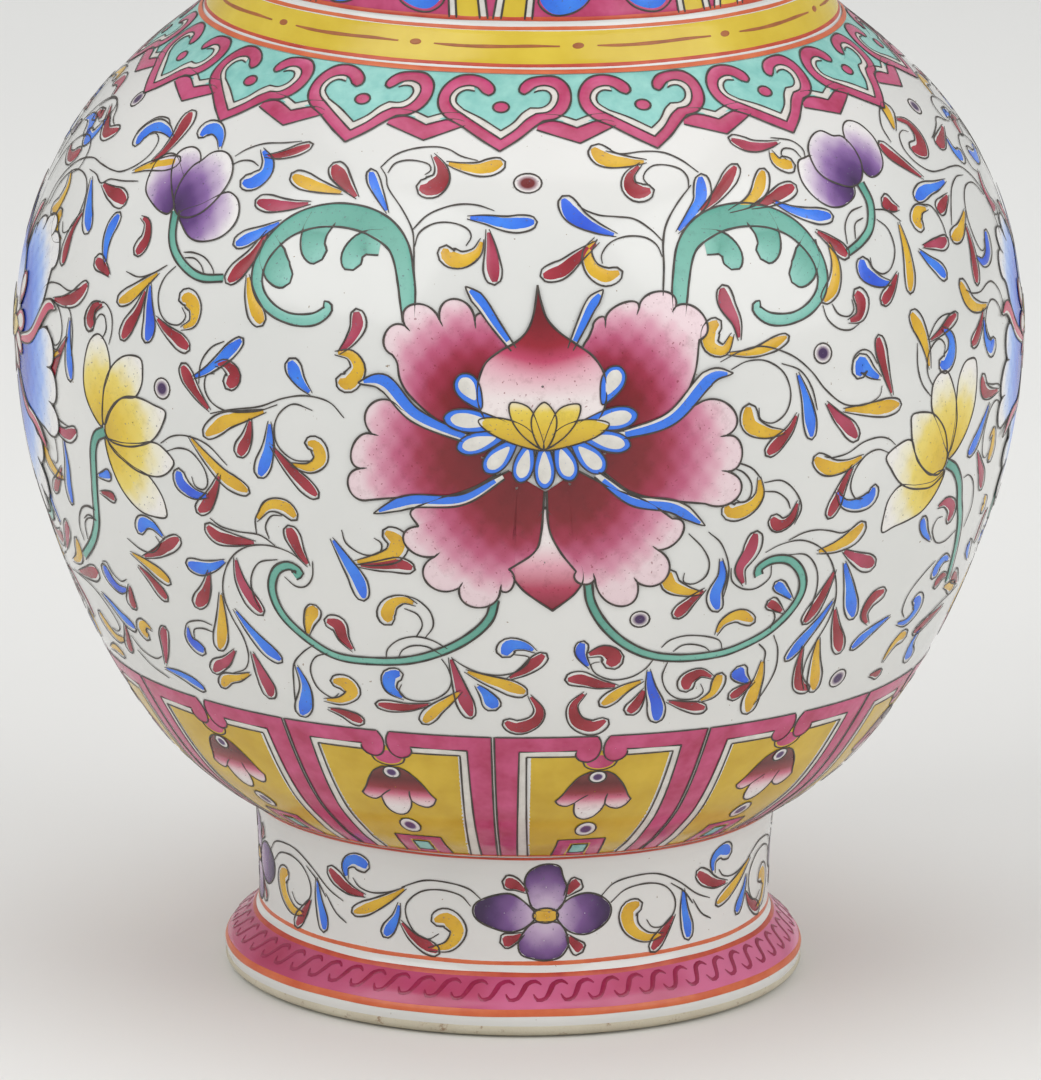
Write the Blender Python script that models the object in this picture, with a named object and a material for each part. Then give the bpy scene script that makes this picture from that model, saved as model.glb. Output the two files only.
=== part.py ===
"""Porcelain vase: globular body on a waisted foot, with a broad neck and a flared mouth.

The vase is thrown in sections that are luted together: a foot ring, a base disc, a lower and an upper
body, a collar at the neck's root, a neck and a mouth rim. Each section is a body of revolution about
+Z, and z = 0 is the plane that the foot stands on.
"""

import math

import bmesh
import bpy

MM = 0.001

# Driving dimensions, in millimetres.
BODY_RADIUS = 122.5
BODY_EQUATOR_Z = 160.0
FOOT_RADIUS = 71.2
WAIST_RADIUS = 62.8
FOOT_TOP_Z = 44.0
SHOULDER_TOP_Z = 240.0
COLLAR_TOP_Z = 250.0
NECK_TOP_Z = 342.0
MOUTH_RADIUS = 86.0
HEIGHT = 357.0

WALL = 5.0
FOOT_WALL = 7.0
BASE_THICKNESS = 6.0
FOOT_STAND_WIDTH = 8.0
LUTE_GAP = 0.3
COLLAR_SWELL = 0.6

SEGMENTS = 64

# The outer wall from the widest part of the foot to the lip, as (height, radius) stations.
OUTER_WALL = (
    (5.5, FOOT_RADIUS),
    (9.0, 69.6),
    (14.4, 63.8),
    (18.0, WAIST_RADIUS),
    (30.0, 63.1),
    (40.0, 63.8),
    (FOOT_TOP_Z, 65.8),
    (50.0, 74.6),
    (60.0, 86.0),
    (75.0, 96.8),
    (95.0, 107.3),
    (120.0, 116.5),
    (140.0, 121.0),
    (BODY_EQUATOR_Z, BODY_RADIUS),
    (178.0, 120.8),
    (195.0, 116.0),
    (210.0, 108.2),
    (222.0, 98.4),
    (232.0, 87.2),
    (SHOULDER_TOP_Z, 77.4),
    (COLLAR_TOP_Z, 71.8),
    (268.0, 69.2),
    (290.0, 67.4),
    (312.0, 68.6),
    (332.0, 74.0),
    (346.0, 81.0),
    (354.5, MOUTH_RADIUS),
)


def clear_scene():
    for obj in list(bpy.data.objects):
        bpy.data.objects.remove(obj, do_unlink=True)


def principled(name, colour, roughness):
    """A glazed or bare ceramic surface."""
    material = bpy.data.materials.new(name)
    material.use_nodes = True
    shader = material.node_tree.nodes["Principled BSDF"]
    shader.inputs["Base Color"].default_value = (*colour, 1.0)
    shader.inputs["Roughness"].default_value = roughness
    shader.inputs["Metallic"].default_value = 0.0
    return material


def tangent(stations, i):
    """The slope dr/dz at station i, from its neighbours on both sides."""
    low = stations[max(i - 1, 0)]
    high = stations[min(i + 1, len(stations) - 1)]
    return (high[1] - low[1]) / (high[0] - low[0])


def wall_radius(z, stations=OUTER_WALL):
    """The outer radius at height z, on a cubic Hermite curve through the stations."""
    last = len(stations) - 2
    i = next((k for k in range(last) if z <= stations[k + 1][0]), last)
    (z0, r0), (z1, r1) = stations[i], stations[i + 1]
    span = z1 - z0
    t = (z - z0) / span
    start = (1 + 2 * t) * (1 - t) ** 2 * r0 + t * (1 - t) ** 2 * span * tangent(stations, i)
    end = t * t * (3 - 2 * t) * r1 + t * t * (t - 1) * span * tangent(stations, i + 1)
    return start + end


def steps(start, end, count):
    """count + 1 heights, evenly spaced from start to end."""
    return [start + (end - start) * i / count for i in range(count + 1)]


def turned(name, outline, material):
    """A solid of revolution: outline is a closed list of (radius, z), counter-clockwise in the r-z plane."""
    mesh = bpy.data.meshes.new(name)
    bm = bmesh.new()
    rings = []
    for radius, z in outline:
        if radius == 0.0:
            rings.append([bm.verts.new((0.0, 0.0, z * MM))] * SEGMENTS)
            continue
        ring = []
        for k in range(SEGMENTS):
            angle = 2 * math.pi * k / SEGMENTS
            place = (radius * MM * math.cos(angle), radius * MM * math.sin(angle), z * MM)
            ring.append(bm.verts.new(place))
        rings.append(ring)
    for lower, upper in zip(rings, rings[1:] + rings[:1]):
        for k in range(SEGMENTS):
            n = (k + 1) % SEGMENTS
            corners = [lower[k], lower[n], upper[n], upper[k]]
            distinct = [c for j, c in enumerate(corners) if c not in corners[:j]]
            if len(distinct) > 2:
                bm.faces.new(distinct)
    bm.to_mesh(mesh)
    bm.free()
    mesh.shade_smooth()
    mesh.set_sharp_from_angle(angle=math.radians(40))
    mesh.materials.append(material)
    obj = bpy.data.objects.new(name, mesh)
    bpy.context.scene.collection.objects.link(obj)
    return obj


def shell_outline(low, high, count, wall):
    """The outline of a ring of wall between two heights: up the outside, then down the inside."""
    heights = steps(low, high, count)
    outside = [(wall_radius(z), z) for z in heights]
    inside = [(wall_radius(z) - wall(z), z) for z in reversed(heights)]
    return outside + inside


def foot_ring(material):
    """The waisted foot: a bare flat ring to stand on, a flared rim, and a deep recess inside."""
    top = FOOT_TOP_Z - BASE_THICKNESS - LUTE_GAP
    stand = FOOT_RADIUS - 3.2
    outside = [(stand, 0.0), (stand + 1.8, 1.0)]
    outside += [(wall_radius(z), z) for z in (5.5, 9.0, 12.0, 14.4, 18.0, 30.0, top)]
    inner = WAIST_RADIUS - FOOT_WALL
    inside = [(inner, top), (inner + 1.5, 12.0), (stand - FOOT_STAND_WIDTH, 0.0)]
    return turned("foot_ring", outside + inside, material)


def base_disc(material):
    """The floor of the body, whose underside is seen in the foot's recess."""
    low = FOOT_TOP_Z - BASE_THICKNESS
    high = FOOT_TOP_Z - LUTE_GAP
    edge = [(wall_radius(low), low), (wall_radius(40.0), 40.0), (wall_radius(high), high)]
    return turned("base_disc", [(0.0, low)] + edge + [(0.0, high)], material)


def lower_body(material):
    """From the base to the widest part of the body."""
    low = FOOT_TOP_Z
    high = BODY_EQUATOR_Z - LUTE_GAP
    heights = (low, 50.0, 60.0, 75.0, 95.0, 120.0, 140.0, high)
    outside = [(wall_radius(z), z) for z in heights]
    inside = [(wall_radius(z) - WALL, z) for z in reversed(heights[1:])]
    hollow = WAIST_RADIUS - FOOT_WALL
    return turned("lower_body", outside + inside + [(hollow, low)], material)


def upper_body(material):
    outline = shell_outline(BODY_EQUATOR_Z, SHOULDER_TOP_Z - LUTE_GAP, 8, lambda z: WALL)
    return turned("upper_body", outline, material)


def neck_collar(material):
    """The band at the neck's root, which swells a little beyond the wall."""
    low, high = SHOULDER_TOP_Z, COLLAR_TOP_Z - LUTE_GAP
    heights = steps(low, high, 4)
    outside = []
    for z in heights:
        swell = COLLAR_SWELL * math.sin(math.pi * (z - low) / (high - low))
        outside.append((wall_radius(z) + swell, z))
    inside = [(wall_radius(z) - WALL, z) for z in (high, low)]
    return turned("neck_collar", outside + inside, material)


def neck(material):
    outline = shell_outline(COLLAR_TOP_Z, NECK_TOP_Z - LUTE_GAP, 8, lambda z: WALL)
    return turned("neck", outline, material)


def mouth_rim(material):
    """The flared mouth, closed by a rounded lip."""
    low = NECK_TOP_Z
    heights = (low, 346.0, 350.5, 354.5)
    outside = [(wall_radius(z), z) for z in heights]
    lip = [(MOUTH_RADIUS - 0.8, 356.2), (MOUTH_RADIUS - WALL / 2, HEIGHT), (MOUTH_RADIUS - 4.2, 356.2)]
    inside = [(wall_radius(z) - WALL, z) for z in reversed(heights)]
    return turned("mouth_rim", outside + lip + inside, material)


def main():
    clear_scene()
    white = principled("white_glaze", (0.86, 0.85, 0.80), 0.12)
    biscuit = principled("foot_glaze", (0.80, 0.76, 0.68), 0.30)
    turquoise = principled("inner_glaze", (0.42, 0.68, 0.62), 0.15)
    yellow = principled("yellow_enamel", (0.80, 0.58, 0.09), 0.18)
    pink = principled("pink_enamel", (0.72, 0.30, 0.38), 0.18)
    foot_ring(biscuit)
    base_disc(turquoise)
    lower_body(white)
    upper_body(white)
    neck_collar(yellow)
    neck(pink)
    mouth_rim(yellow)


main()
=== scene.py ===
"""Looks of the porcelain vase: glazed skins turned from the CAD's own wall, and painted enamels on them.

The painting lives on the outer wall. A place in it is (x, s) in millimetres: s runs up the wall from the
foot's standing plane, along the surface, and x runs round it from a motif's own middle line, so that
shapes keep their true size on the curved wall. A motif's turn is the azimuth of its middle line, in
degrees from the front (-Y), positive towards +X.
"""

import math

import bpy
import numpy as np
from mathutils import Euler, Matrix, Vector

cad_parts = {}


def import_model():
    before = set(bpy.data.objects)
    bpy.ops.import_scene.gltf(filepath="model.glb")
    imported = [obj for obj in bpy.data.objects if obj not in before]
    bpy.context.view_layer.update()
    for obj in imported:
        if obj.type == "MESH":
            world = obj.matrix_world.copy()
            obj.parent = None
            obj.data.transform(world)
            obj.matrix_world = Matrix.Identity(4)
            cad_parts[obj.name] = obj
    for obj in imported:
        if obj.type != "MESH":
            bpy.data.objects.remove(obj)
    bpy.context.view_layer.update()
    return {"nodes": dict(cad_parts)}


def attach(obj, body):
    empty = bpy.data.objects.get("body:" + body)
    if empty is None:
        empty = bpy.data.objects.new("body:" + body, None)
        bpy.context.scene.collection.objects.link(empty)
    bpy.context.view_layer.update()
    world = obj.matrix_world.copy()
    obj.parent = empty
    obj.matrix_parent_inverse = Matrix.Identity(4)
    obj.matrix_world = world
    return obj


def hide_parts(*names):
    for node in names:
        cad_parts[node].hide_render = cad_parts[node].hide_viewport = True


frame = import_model()

MM = 0.001

# ---------------------------------------------------------------- the wall


def measured_wall():
    """The outer wall of the CAD, as rows of (height, radius) in mm."""
    widest = {}
    for node in frame["nodes"].values():
        for vertex in node.data.vertices:
            z = round(vertex.co.z / MM, 1)
            widest[z] = max(widest.get(z, 0.0), math.hypot(vertex.co.x, vertex.co.y) / MM)
    rows = []
    for z, r in sorted(widest.items()):
        if not rows or z - rows[-1][0] > 0.5:
            rows.append((z, r))
    return np.array(rows)


STATIONS = measured_wall()


def wall_at(z):
    """The wall's radius at each height z, on a cubic Hermite curve through the stations."""
    heights, radii = STATIONS[:, 0], STATIONS[:, 1]
    last = len(heights) - 1
    low = np.maximum(np.arange(last + 1) - 1, 0)
    high = np.minimum(np.arange(last + 1) + 1, last)
    slope = (radii[high] - radii[low]) / (heights[high] - heights[low])
    z = np.asarray(z, float)
    i = np.clip(np.searchsorted(heights, z, side="right") - 1, 0, last - 1)
    span = heights[i + 1] - heights[i]
    t = (z - heights[i]) / span
    start = (1 + 2 * t) * (1 - t) ** 2 * radii[i] + t * (1 - t) ** 2 * span * slope[i]
    end = t * t * (3 - 2 * t) * radii[i + 1] + t * t * (t - 1) * span * slope[i + 1]
    return start + end


WALL_Z = np.linspace(0.0, STATIONS[-1, 0], 3600)
WALL_R = wall_at(WALL_Z)
WALL_S = np.concatenate([[0.0], np.cumsum(np.hypot(np.diff(WALL_Z), np.diff(WALL_R)))])
NORMAL_R = np.gradient(WALL_Z, WALL_S)
NORMAL_Z = -np.gradient(WALL_R, WALL_S)


def arc_of(z):
    return float(np.interp(z, WALL_Z, WALL_S))


def radius_of(s):
    return np.interp(s, WALL_S, WALL_R)


def on_wall(x, s, lift, turn):
    """Points in metres for places (x, s) on the wall, raised by lift along its normal."""
    x, s, lift = np.broadcast_arrays(np.asarray(x, float), np.asarray(s, float), np.asarray(lift, float))
    radius = np.interp(s, WALL_S, WALL_R)
    azimuth = x / radius + np.radians(turn)
    out = radius + lift * np.interp(s, WALL_S, NORMAL_R)
    z = np.interp(s, WALL_S, WALL_Z) + lift * np.interp(s, WALL_S, NORMAL_Z)
    return np.stack([out * np.sin(azimuth), -out * np.cos(azimuth), z], axis=-1) * MM


# ---------------------------------------------------------------- colours and materials


def linear(colour):
    """A colour given as eight-bit display values, as linear light."""
    c = np.asarray(colour, float) / 255.0
    return np.where(c <= 0.04045, c / 12.92, ((c + 0.055) / 1.055) ** 2.4)


def rgba(colour):
    return (*[float(c) for c in linear(colour)], 1.0)


WHITE = (232, 229, 224)


class Shading:
    """A small helper for building one material's nodes."""

    def __init__(self, name):
        self.material = bpy.data.materials.new(name)
        self.material.use_nodes = True
        self.tree = self.material.node_tree
        self.shader = self.tree.nodes["Principled BSDF"]

    def node(self, kind, **values):
        made = self.tree.nodes.new(kind)
        for key, value in values.items():
            if key in made.inputs:
                made.inputs[key].default_value = value
            else:
                setattr(made, key, value)
        return made

    def link(self, out, into):
        self.tree.links.new(out, into)

    def noise(self, scale, detail=3.0, roughness=0.5):
        place = self.node("ShaderNodeTexCoord")
        made = self.node("ShaderNodeTexNoise", Scale=scale, Detail=detail, Roughness=roughness)
        self.link(place.outputs["Object"], made.inputs["Vector"])
        return made.outputs["Fac"]

    def spread(self, fac, low, high, to_low=0.0, to_high=1.0):
        made = self.node("ShaderNodeMapRange")
        made.inputs["From Min"].default_value = low
        made.inputs["From Max"].default_value = high
        made.inputs["To Min"].default_value = to_low
        made.inputs["To Max"].default_value = to_high
        self.link(fac, made.inputs["Value"])
        return made.outputs["Result"]

    def mix(self, fac, a, b, blend="MIX"):
        made = self.node("ShaderNodeMix", data_type="RGBA", blend_type=blend)
        if isinstance(fac, float):
            made.inputs[0].default_value = fac
        else:
            self.link(fac, made.inputs[0])
        for value, socket in ((a, made.inputs[6]), (b, made.inputs[7])):
            if isinstance(value, tuple):
                socket.default_value = value
            else:
                self.link(value, socket)
        return made.outputs[2]

    def bump(self, fac, distance, strength=1.0):
        made = self.node("ShaderNodeBump", Strength=strength, Distance=distance)
        self.link(fac, made.inputs["Height"])
        self.link(made.outputs["Normal"], self.shader.inputs["Normal"])

    def set(self, **values):
        for key, value in values.items():
            self.shader.inputs[key.replace("_", " ")].default_value = value


def porcelain(name="white_glaze"):
    """White glaze: a cool grey-white with faint clouding, pin holes and a slow ripple in its gloss."""
    m = Shading(name)
    cloud = m.spread(m.noise(14.0, 4.0), 0.35, 0.65)
    base = m.mix(cloud, rgba((216, 216, 212)), rgba((224, 223, 219)))
    specks = m.spread(m.noise(900.0, 2.0), 0.755, 0.78)
    m.link(m.mix(specks, base, rgba((150, 132, 112))), m.shader.inputs["Base Color"])
    m.bump(m.noise(45.0, 2.0), 0.0006, 0.12)
    m.set(Roughness=0.17, IOR=1.46, Coat_Weight=0.25, Coat_Roughness=0.06)
    return m.material


def enamel(name, pale, deep, scale=160.0, roughness=0.22):
    """One overglaze enamel, pooled darker and lighter by the brush."""
    m = Shading(name)
    pool = m.spread(m.noise(scale, 3.0, 0.6), 0.3, 0.7)
    m.link(m.mix(pool, rgba(deep), rgba(pale)), m.shader.inputs["Base Color"])
    m.bump(m.noise(scale * 4.0, 2.0), 0.0001, 0.25)
    m.set(Roughness=roughness, IOR=1.52)
    return m.material


def tinted_enamel(name, stipple=(120, 30, 40), amount=0.24, roughness=0.24):
    """Enamel washed from one colour to another, the wash stored on the mesh, with stippled specks over it."""
    m = Shading(name)
    wash = m.node("ShaderNodeAttribute", attribute_name="Tint").outputs["Color"]
    grain = m.spread(m.noise(420.0, 4.0, 0.7), 0.52, 0.75, 0.0, amount)
    speckled = m.mix(grain, wash, rgba(stipple), "MULTIPLY")
    dots = m.spread(m.noise(1400.0, 1.0), 0.70, 0.74, 0.0, 0.6)
    m.link(m.mix(dots, speckled, rgba(stipple)), m.shader.inputs["Base Color"])
    m.bump(m.noise(520.0, 2.0), 0.00012, 0.25)
    m.set(Roughness=roughness, IOR=1.52)
    return m.material


# ---------------------------------------------------------------- enamel meshes


class Layer:
    """One mesh of enamel that grows as the motifs are painted: points in metres, quads, and tints."""

    def __init__(self, name, material, slot="white_glaze", tinted=False):
        self.name, self.material, self.slot, self.tinted = name, material, slot, tinted
        self.points, self.quads, self.tints, self.count = [], [], [], 0

    def add(self, grid, tint=None):
        """A grid of points (rows, columns, 3), and its tint as a colour or as one colour for each point."""
        rows, columns = grid.shape[:2]
        index = np.arange(rows * columns).reshape(rows, columns) + self.count
        corners = (index[:-1, :-1], index[:-1, 1:], index[1:, 1:], index[1:, :-1])
        self.quads.append(np.stack([c.ravel() for c in corners], axis=1))
        self.points.append(grid.reshape(-1, 3))
        if self.tinted:
            self.tints.append(np.broadcast_to(tint, grid.shape).reshape(-1, 3))
        self.count += rows * columns

    def build(self):
        points, quads = np.concatenate(self.points), np.concatenate(self.quads)
        mesh = bpy.data.meshes.new(self.name)
        mesh.from_pydata(points.tolist(), [], quads.tolist())
        if self.tinted:
            attribute = mesh.color_attributes.new("Tint", "FLOAT_COLOR", "POINT")
            tints = np.concatenate(self.tints)
            values = np.concatenate([tints, np.ones((len(tints), 1))], axis=1)
            attribute.data.foreach_set("color", values.astype(np.float32).ravel())
        mesh.validate()
        face_out(mesh)
        mesh.shade_smooth()
        mesh.materials.append(self.material)
        obj = bpy.data.objects.new(self.name, mesh)
        bpy.context.scene.collection.objects.link(obj)
        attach(obj, "root")
        return obj


def face_out(mesh):
    """Turns round each face of a painted layer that looks towards the axis."""
    count = len(mesh.polygons)
    normals = np.zeros(count * 3)
    centres = np.zeros(count * 3)
    mesh.polygons.foreach_get("normal", normals)
    mesh.polygons.foreach_get("center", centres)
    normals, centres = normals.reshape(-1, 3), centres.reshape(-1, 3)
    s_like = np.interp(centres[:, 2] / MM, WALL_Z, WALL_S)
    radial = centres[:, :2] / np.linalg.norm(centres[:, :2], axis=1, keepdims=True)
    out = radial * np.interp(s_like, WALL_S, NORMAL_R)[:, None]
    facing = (normals[:, :2] * out).sum(1) + normals[:, 2] * np.interp(s_like, WALL_S, NORMAL_Z)
    inward = np.nonzero(facing < 0)[0]
    if len(inward):
        for i in inward:
            mesh.polygons[i].flip()
        mesh.update()


SUNK = -0.03
LEVEL = 0.07


def smooth(points, step=0.7, closed=False):
    """A centripetal-like Catmull-Rom curve through the points, sampled about every step mm."""
    p = np.asarray(points, float)
    if len(p) == 2:
        count = max(int(np.hypot(*(p[1] - p[0])) / step), 2)
        return p[0] + (p[1] - p[0]) * np.linspace(0, 1, count + 1)[:, None]
    if closed:
        p = np.concatenate([p[-1:], p, p[:2]])
    else:
        p = np.concatenate([[2 * p[0] - p[1]], p, [2 * p[-1] - p[-2]]])
    out = []
    for a, b, c, d in zip(p, p[1:], p[2:], p[3:]):
        count = max(int(np.hypot(*(c - b)) / step), 2)
        t = np.linspace(0, 1, count, endpoint=False)[:, None]
        out.append(0.5 * (2 * b + (c - a) * t + (2 * a - 5 * b + 4 * c - d) * t ** 2
                          + (3 * b - a - 3 * c + d) * t ** 3))
    if not closed:
        out.append(p[-2:-1])
    return np.concatenate(out)


def across(path):
    """The unit vectors square to a path, to its left."""
    along = np.gradient(path, axis=0)
    along /= np.maximum(np.linalg.norm(along, axis=1, keepdims=True), 1e-9)
    return np.stack([-along[:, 1], along[:, 0]], axis=1)


def ribbon(layer, path, half, turn, level=0, height=0.08, columns=3, tint=None, bulge=2.0):
    """Enamel laid along a path: half is its half width in mm, one number or one for each point."""
    half = np.broadcast_to(half, len(path))
    v = np.linspace(-1, 1, columns)
    places = path[:, None] + across(path)[:, None] * (half[:, None] * v)[..., None]
    lift = level * LEVEL + SUNK + (height - SUNK) * (1 - np.abs(v) ** bulge)
    lift = np.broadcast_to(lift, places.shape[:2])
    layer.add(on_wall(places[..., 0], places[..., 1], lift, turn), tint)


def line(layer, path, turn, level=0, width=0.45, taper=(1.0, 1.0), closed=False):
    """A brush line, thinner towards an end where taper says so, and a little uneven as a brush leaves it."""
    path = np.asarray(path)
    if closed:
        path = np.concatenate([path, path[:2]])
    t = np.linspace(0, 1, len(path))
    run = np.arange(len(path)) * 0.7
    uneven = 1 + 0.16 * np.sin(run * 0.9 + path[0, 0]) * np.sin(run * 0.37 + path[0, 1])
    ends = np.interp(t, (0, 0.18, 0.82, 1), (taper[0], 1, 1, taper[1]))
    ribbon(layer, path, width / 2 * uneven * ends, turn, level + 1, 0.07)


def fan(layer, root, outline, turn, level=0, height=0.07, tint=None, rings=None):
    """Enamel filling an outline that is seen whole from its root. tint(u, places) gives its colour."""
    root, outline = np.asarray(root, float), np.asarray(outline, float)
    outline = outline[np.append(np.linalg.norm(np.diff(outline, axis=0), axis=1) > 0.05, True)]
    reach = np.max(np.linalg.norm(outline - root, axis=1))
    rings = rings or max(int(reach / 1.2), 4)
    u = np.linspace(0.0, 1.0, rings + 1)
    u = u ** 0.85
    u[0] = 0.02
    places = root + u[:, None, None] * (outline - root)[None]
    lift = level * LEVEL + SUNK + (height - SUNK) * (1 - u ** 10)
    lift = np.broadcast_to(lift[:, None], places.shape[:2])
    colour = None
    if tint is not None:
        colour = tint(np.broadcast_to(u[:, None], places.shape[:2]), places)
    layer.add(on_wall(places[..., 0], places[..., 1], lift, turn), colour)


def washes(*stops):
    """A function from 0..1 to a colour, through stops of (place, display colour)."""
    at = [stop[0] for stop in stops]
    colours = np.array([linear(stop[1]) for stop in stops])
    return lambda t: np.stack([np.interp(t, at, colours[:, k]) for k in range(3)], axis=-1)


def lobes(start, pairs, step=0.7):
    """A scalloped edge: from start, each pair is the lobe's outermost point and the notch that ends it."""
    out, here = [], np.asarray(start, float)
    for apex, notch in pairs:
        apex, notch = np.asarray(apex, float), np.asarray(notch, float)
        chord = notch - here
        rise = apex - (here + notch) / 2
        count = max(int((np.linalg.norm(chord) + 1.2 * np.linalg.norm(rise)) / step), 6)
        t = np.linspace(0, 1, count)[:, None]
        # Handles that rise straight from the notches, and lean out a little, make a round lobe.
        h0 = here + rise * 1.12 - chord * 0.04
        h1 = notch + rise * 1.12 + chord * 0.04
        out.append((1 - t) ** 3 * here + 3 * (1 - t) ** 2 * t * h0
                   + 3 * (1 - t) * t ** 2 * h1 + t ** 3 * notch)
        here = notch
    return np.concatenate(out)


# ---------------------------------------------------------------- porcelain skins

TURNS = 160
FOOT_TOP, BODY_TOP, COLLAR_TOP, NECK_TOP = 44.0, 240.0, 250.0, 342.0
WALL, FOOT_WALL = 5.0, 7.0


def turned(name, stretches, material, covers):
    """A lathe-turned skin. Each stretch is a smooth run of (radius, height) in mm; runs meet in crisp
    edges."""
    points, quads = [], []
    angles = np.linspace(0, 2 * math.pi, TURNS, endpoint=False)
    for stretch in stretches:
        first = len(points)
        for r, z in stretch:
            points.extend((r * math.sin(a) * MM, -r * math.cos(a) * MM, z * MM) for a in angles)
        for i in range(len(stretch) - 1):
            for j in range(TURNS):
                k = (j + 1) % TURNS
                low, high = first + i * TURNS, first + (i + 1) * TURNS
                quads.append((low + j, low + k, high + k, high + j))
    mesh = bpy.data.meshes.new(name)
    mesh.from_pydata(points, [], quads)
    mesh.update()
    mesh.shade_smooth()
    mesh.materials.append(material)
    obj = bpy.data.objects.new(name, mesh)
    bpy.context.scene.collection.objects.link(obj)
    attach(obj, "root")
    if covers:
        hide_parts(*covers)
    return obj


def outer_run(low, high, step=1.2):
    count = max(int((high - low) / step), 2)
    return [(float(wall_at(z)), z) for z in np.linspace(low, high, count + 1)]


def inner_run(low, high, wall, step=2.5):
    """The inside of the wall, from high down to low."""
    count = max(int((high - low) / step), 2)
    return [(float(wall_at(z)) - wall, z) for z in np.linspace(high, low, count + 1)]


def curve_run(corners):
    """A run through corner points, rounded between them."""
    path = smooth(corners, 0.5)
    return [(float(r), float(z)) for r, z in path]


def shell(name, low, high, material, covers, wall=WALL):
    outside, inside = outer_run(low, high), inner_run(low, high, wall)
    top, bottom = [outside[-1], inside[0]], [inside[-1], outside[0]]
    return turned(name, [outside, top, inside, bottom], material, covers)


def turquoise_glaze(name):
    """The inside's turquoise glaze, a thin even coat with fine dimples."""
    m = Shading(name)
    cloud = m.spread(m.noise(30.0, 4.0), 0.3, 0.7)
    m.link(m.mix(cloud, rgba((136, 198, 188)), rgba((152, 210, 200))), m.shader.inputs["Base Color"])
    m.bump(m.noise(260.0, 2.0), 0.0003, 0.18)
    m.set(Roughness=0.2, IOR=1.5)
    return m.material


def biscuit(name):
    """The bare foot rim: fine sandy body, freckled rust where the kiln touched it."""
    m = Shading(name)
    cloud = m.spread(m.noise(60.0, 4.0), 0.3, 0.7)
    base = m.mix(cloud, rgba((190, 180, 158)), rgba((206, 199, 178)))
    rust = m.spread(m.noise(330.0, 3.0, 0.7), 0.6, 0.72, 0.0, 0.8)
    m.link(m.mix(rust, base, rgba((138, 104, 74))), m.shader.inputs["Base Color"])
    m.bump(m.noise(1300.0, 3.0, 0.7), 0.0002, 0.7)
    m.set(Roughness=0.75)
    return m.material


GLAZE = porcelain()
INSIDE = turquoise_glaze("inner_glaze")
BISCUIT = biscuit("bare_biscuit")

BISCUIT_TOP = 3.2


def foot_skin():
    outside = outer_run(BISCUIT_TOP, FOOT_TOP - 0.1, 0.9)
    shelf = [outside[-1], (wall_at(37.7) - FOOT_WALL, FOOT_TOP - 0.1)]
    recess = curve_run([(57.6, 38.0), (56.6, 30.0), (56.6, 20.0), (57.3, 12.0), (59.0, BISCUIT_TOP)])
    turned("foot_glaze_skin", [outside, shelf, [shelf[-1], recess[0]], recess], GLAZE,
           ["foot_ring"])
    rim_outside = [(wall_at(BISCUIT_TOP), BISCUIT_TOP), (71.15, 2.2), (70.6, 1.4), (69.8, 0.8), (68.0, 0.0)]
    rim_inside = [(60.0, 0.0), (59.6, 0.6), (59.4, 1.6), (59.0, BISCUIT_TOP)]
    turned("foot_biscuit_ring", [rim_outside, [rim_outside[-1], rim_inside[0]], rim_inside], BISCUIT,
           [])


def base_skin():
    """The glazed floor of the vase: its underside inside the foot, and its upper face inside the body."""
    under = [(0.4, 38.4), (30.0, 38.2), (50.0, 38.05), (57.7, 38.0)]
    over = [(57.7, 43.7), (40.0, 43.7), (0.4, 43.7)]
    turned("base_glaze", [under, [under[-1], over[0]], over], INSIDE, ["base_disc"])


def mouth_skin():
    edge = outer_run(NECK_TOP, 354.0, 0.8)
    lip = curve_run([edge[-1], (wall_at(355.2) + 0.05, 355.4), (85.2, 356.3), (83.5, 357.0), (81.8, 356.3),
                     (81.0, 354.6)])
    inside = [lip[-1], *inner_run(NECK_TOP, 353.5, WALL)]
    turned("mouth_rim_skin", [edge + lip[1:], inside, [inside[-1], edge[0]]], GLAZE,
           ["mouth_rim"])


def lining():
    """The turquoise glaze inside the vase, a thin coat over the wall from its floor to the mouth."""
    coat = [(r - 0.35, z) for r, z in inner_run(FOOT_TOP, 355.0, WALL, 2.0)]
    ends = [(coat[0][0] + 0.35, 355.3)]
    turned("inside_turquoise_lining", [ends + coat], INSIDE, [])


foot_skin()
base_skin()
shell("body_glaze_skin", FOOT_TOP, BODY_TOP - 0.02, GLAZE, ["lower_body", "upper_body"])
shell("collar_glaze_skin", BODY_TOP, COLLAR_TOP - 0.02, GLAZE, ["neck_collar"])
shell("neck_glaze_skin", COLLAR_TOP, NECK_TOP - 0.02, GLAZE, ["neck"])
mouth_skin()
lining()


# ---------------------------------------------------------------- painting tools for the regular bands


def resample(path, count):
    """A path's points, spread evenly along its length."""
    path = np.asarray(path, float)
    run = np.concatenate([[0.0], np.cumsum(np.linalg.norm(np.diff(path, axis=0), axis=1))])
    at = np.linspace(0.0, run[-1], count)
    return np.stack([np.interp(at, run, path[:, 0]), np.interp(at, run, path[:, 1])], axis=1)


def between(layer, first, second, turn, level=0, height=0.07, columns=5, count=None, flat=6, tint=None):
    """Enamel filling the strip between two edges that run side by side."""
    first, second = np.asarray(first, float), np.asarray(second, float)
    count = count or max(int(np.linalg.norm(np.diff(first, axis=0), axis=1).sum() / 0.9), 4)
    first, second = resample(first, count), resample(second, count)
    v = np.linspace(0.0, 1.0, columns)
    places = first[:, None] + (second - first)[:, None] * v[None, :, None]
    lift = level * LEVEL + SUNK + (height - SUNK) * (1 - np.abs(2 * v - 1) ** flat)
    lift = np.broadcast_to(lift, places.shape[:2])
    colour = tint(np.broadcast_to(v, places.shape[:2]), places) if tint else None
    layer.add(on_wall(places[..., 0], places[..., 1], lift, turn), colour)


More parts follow.
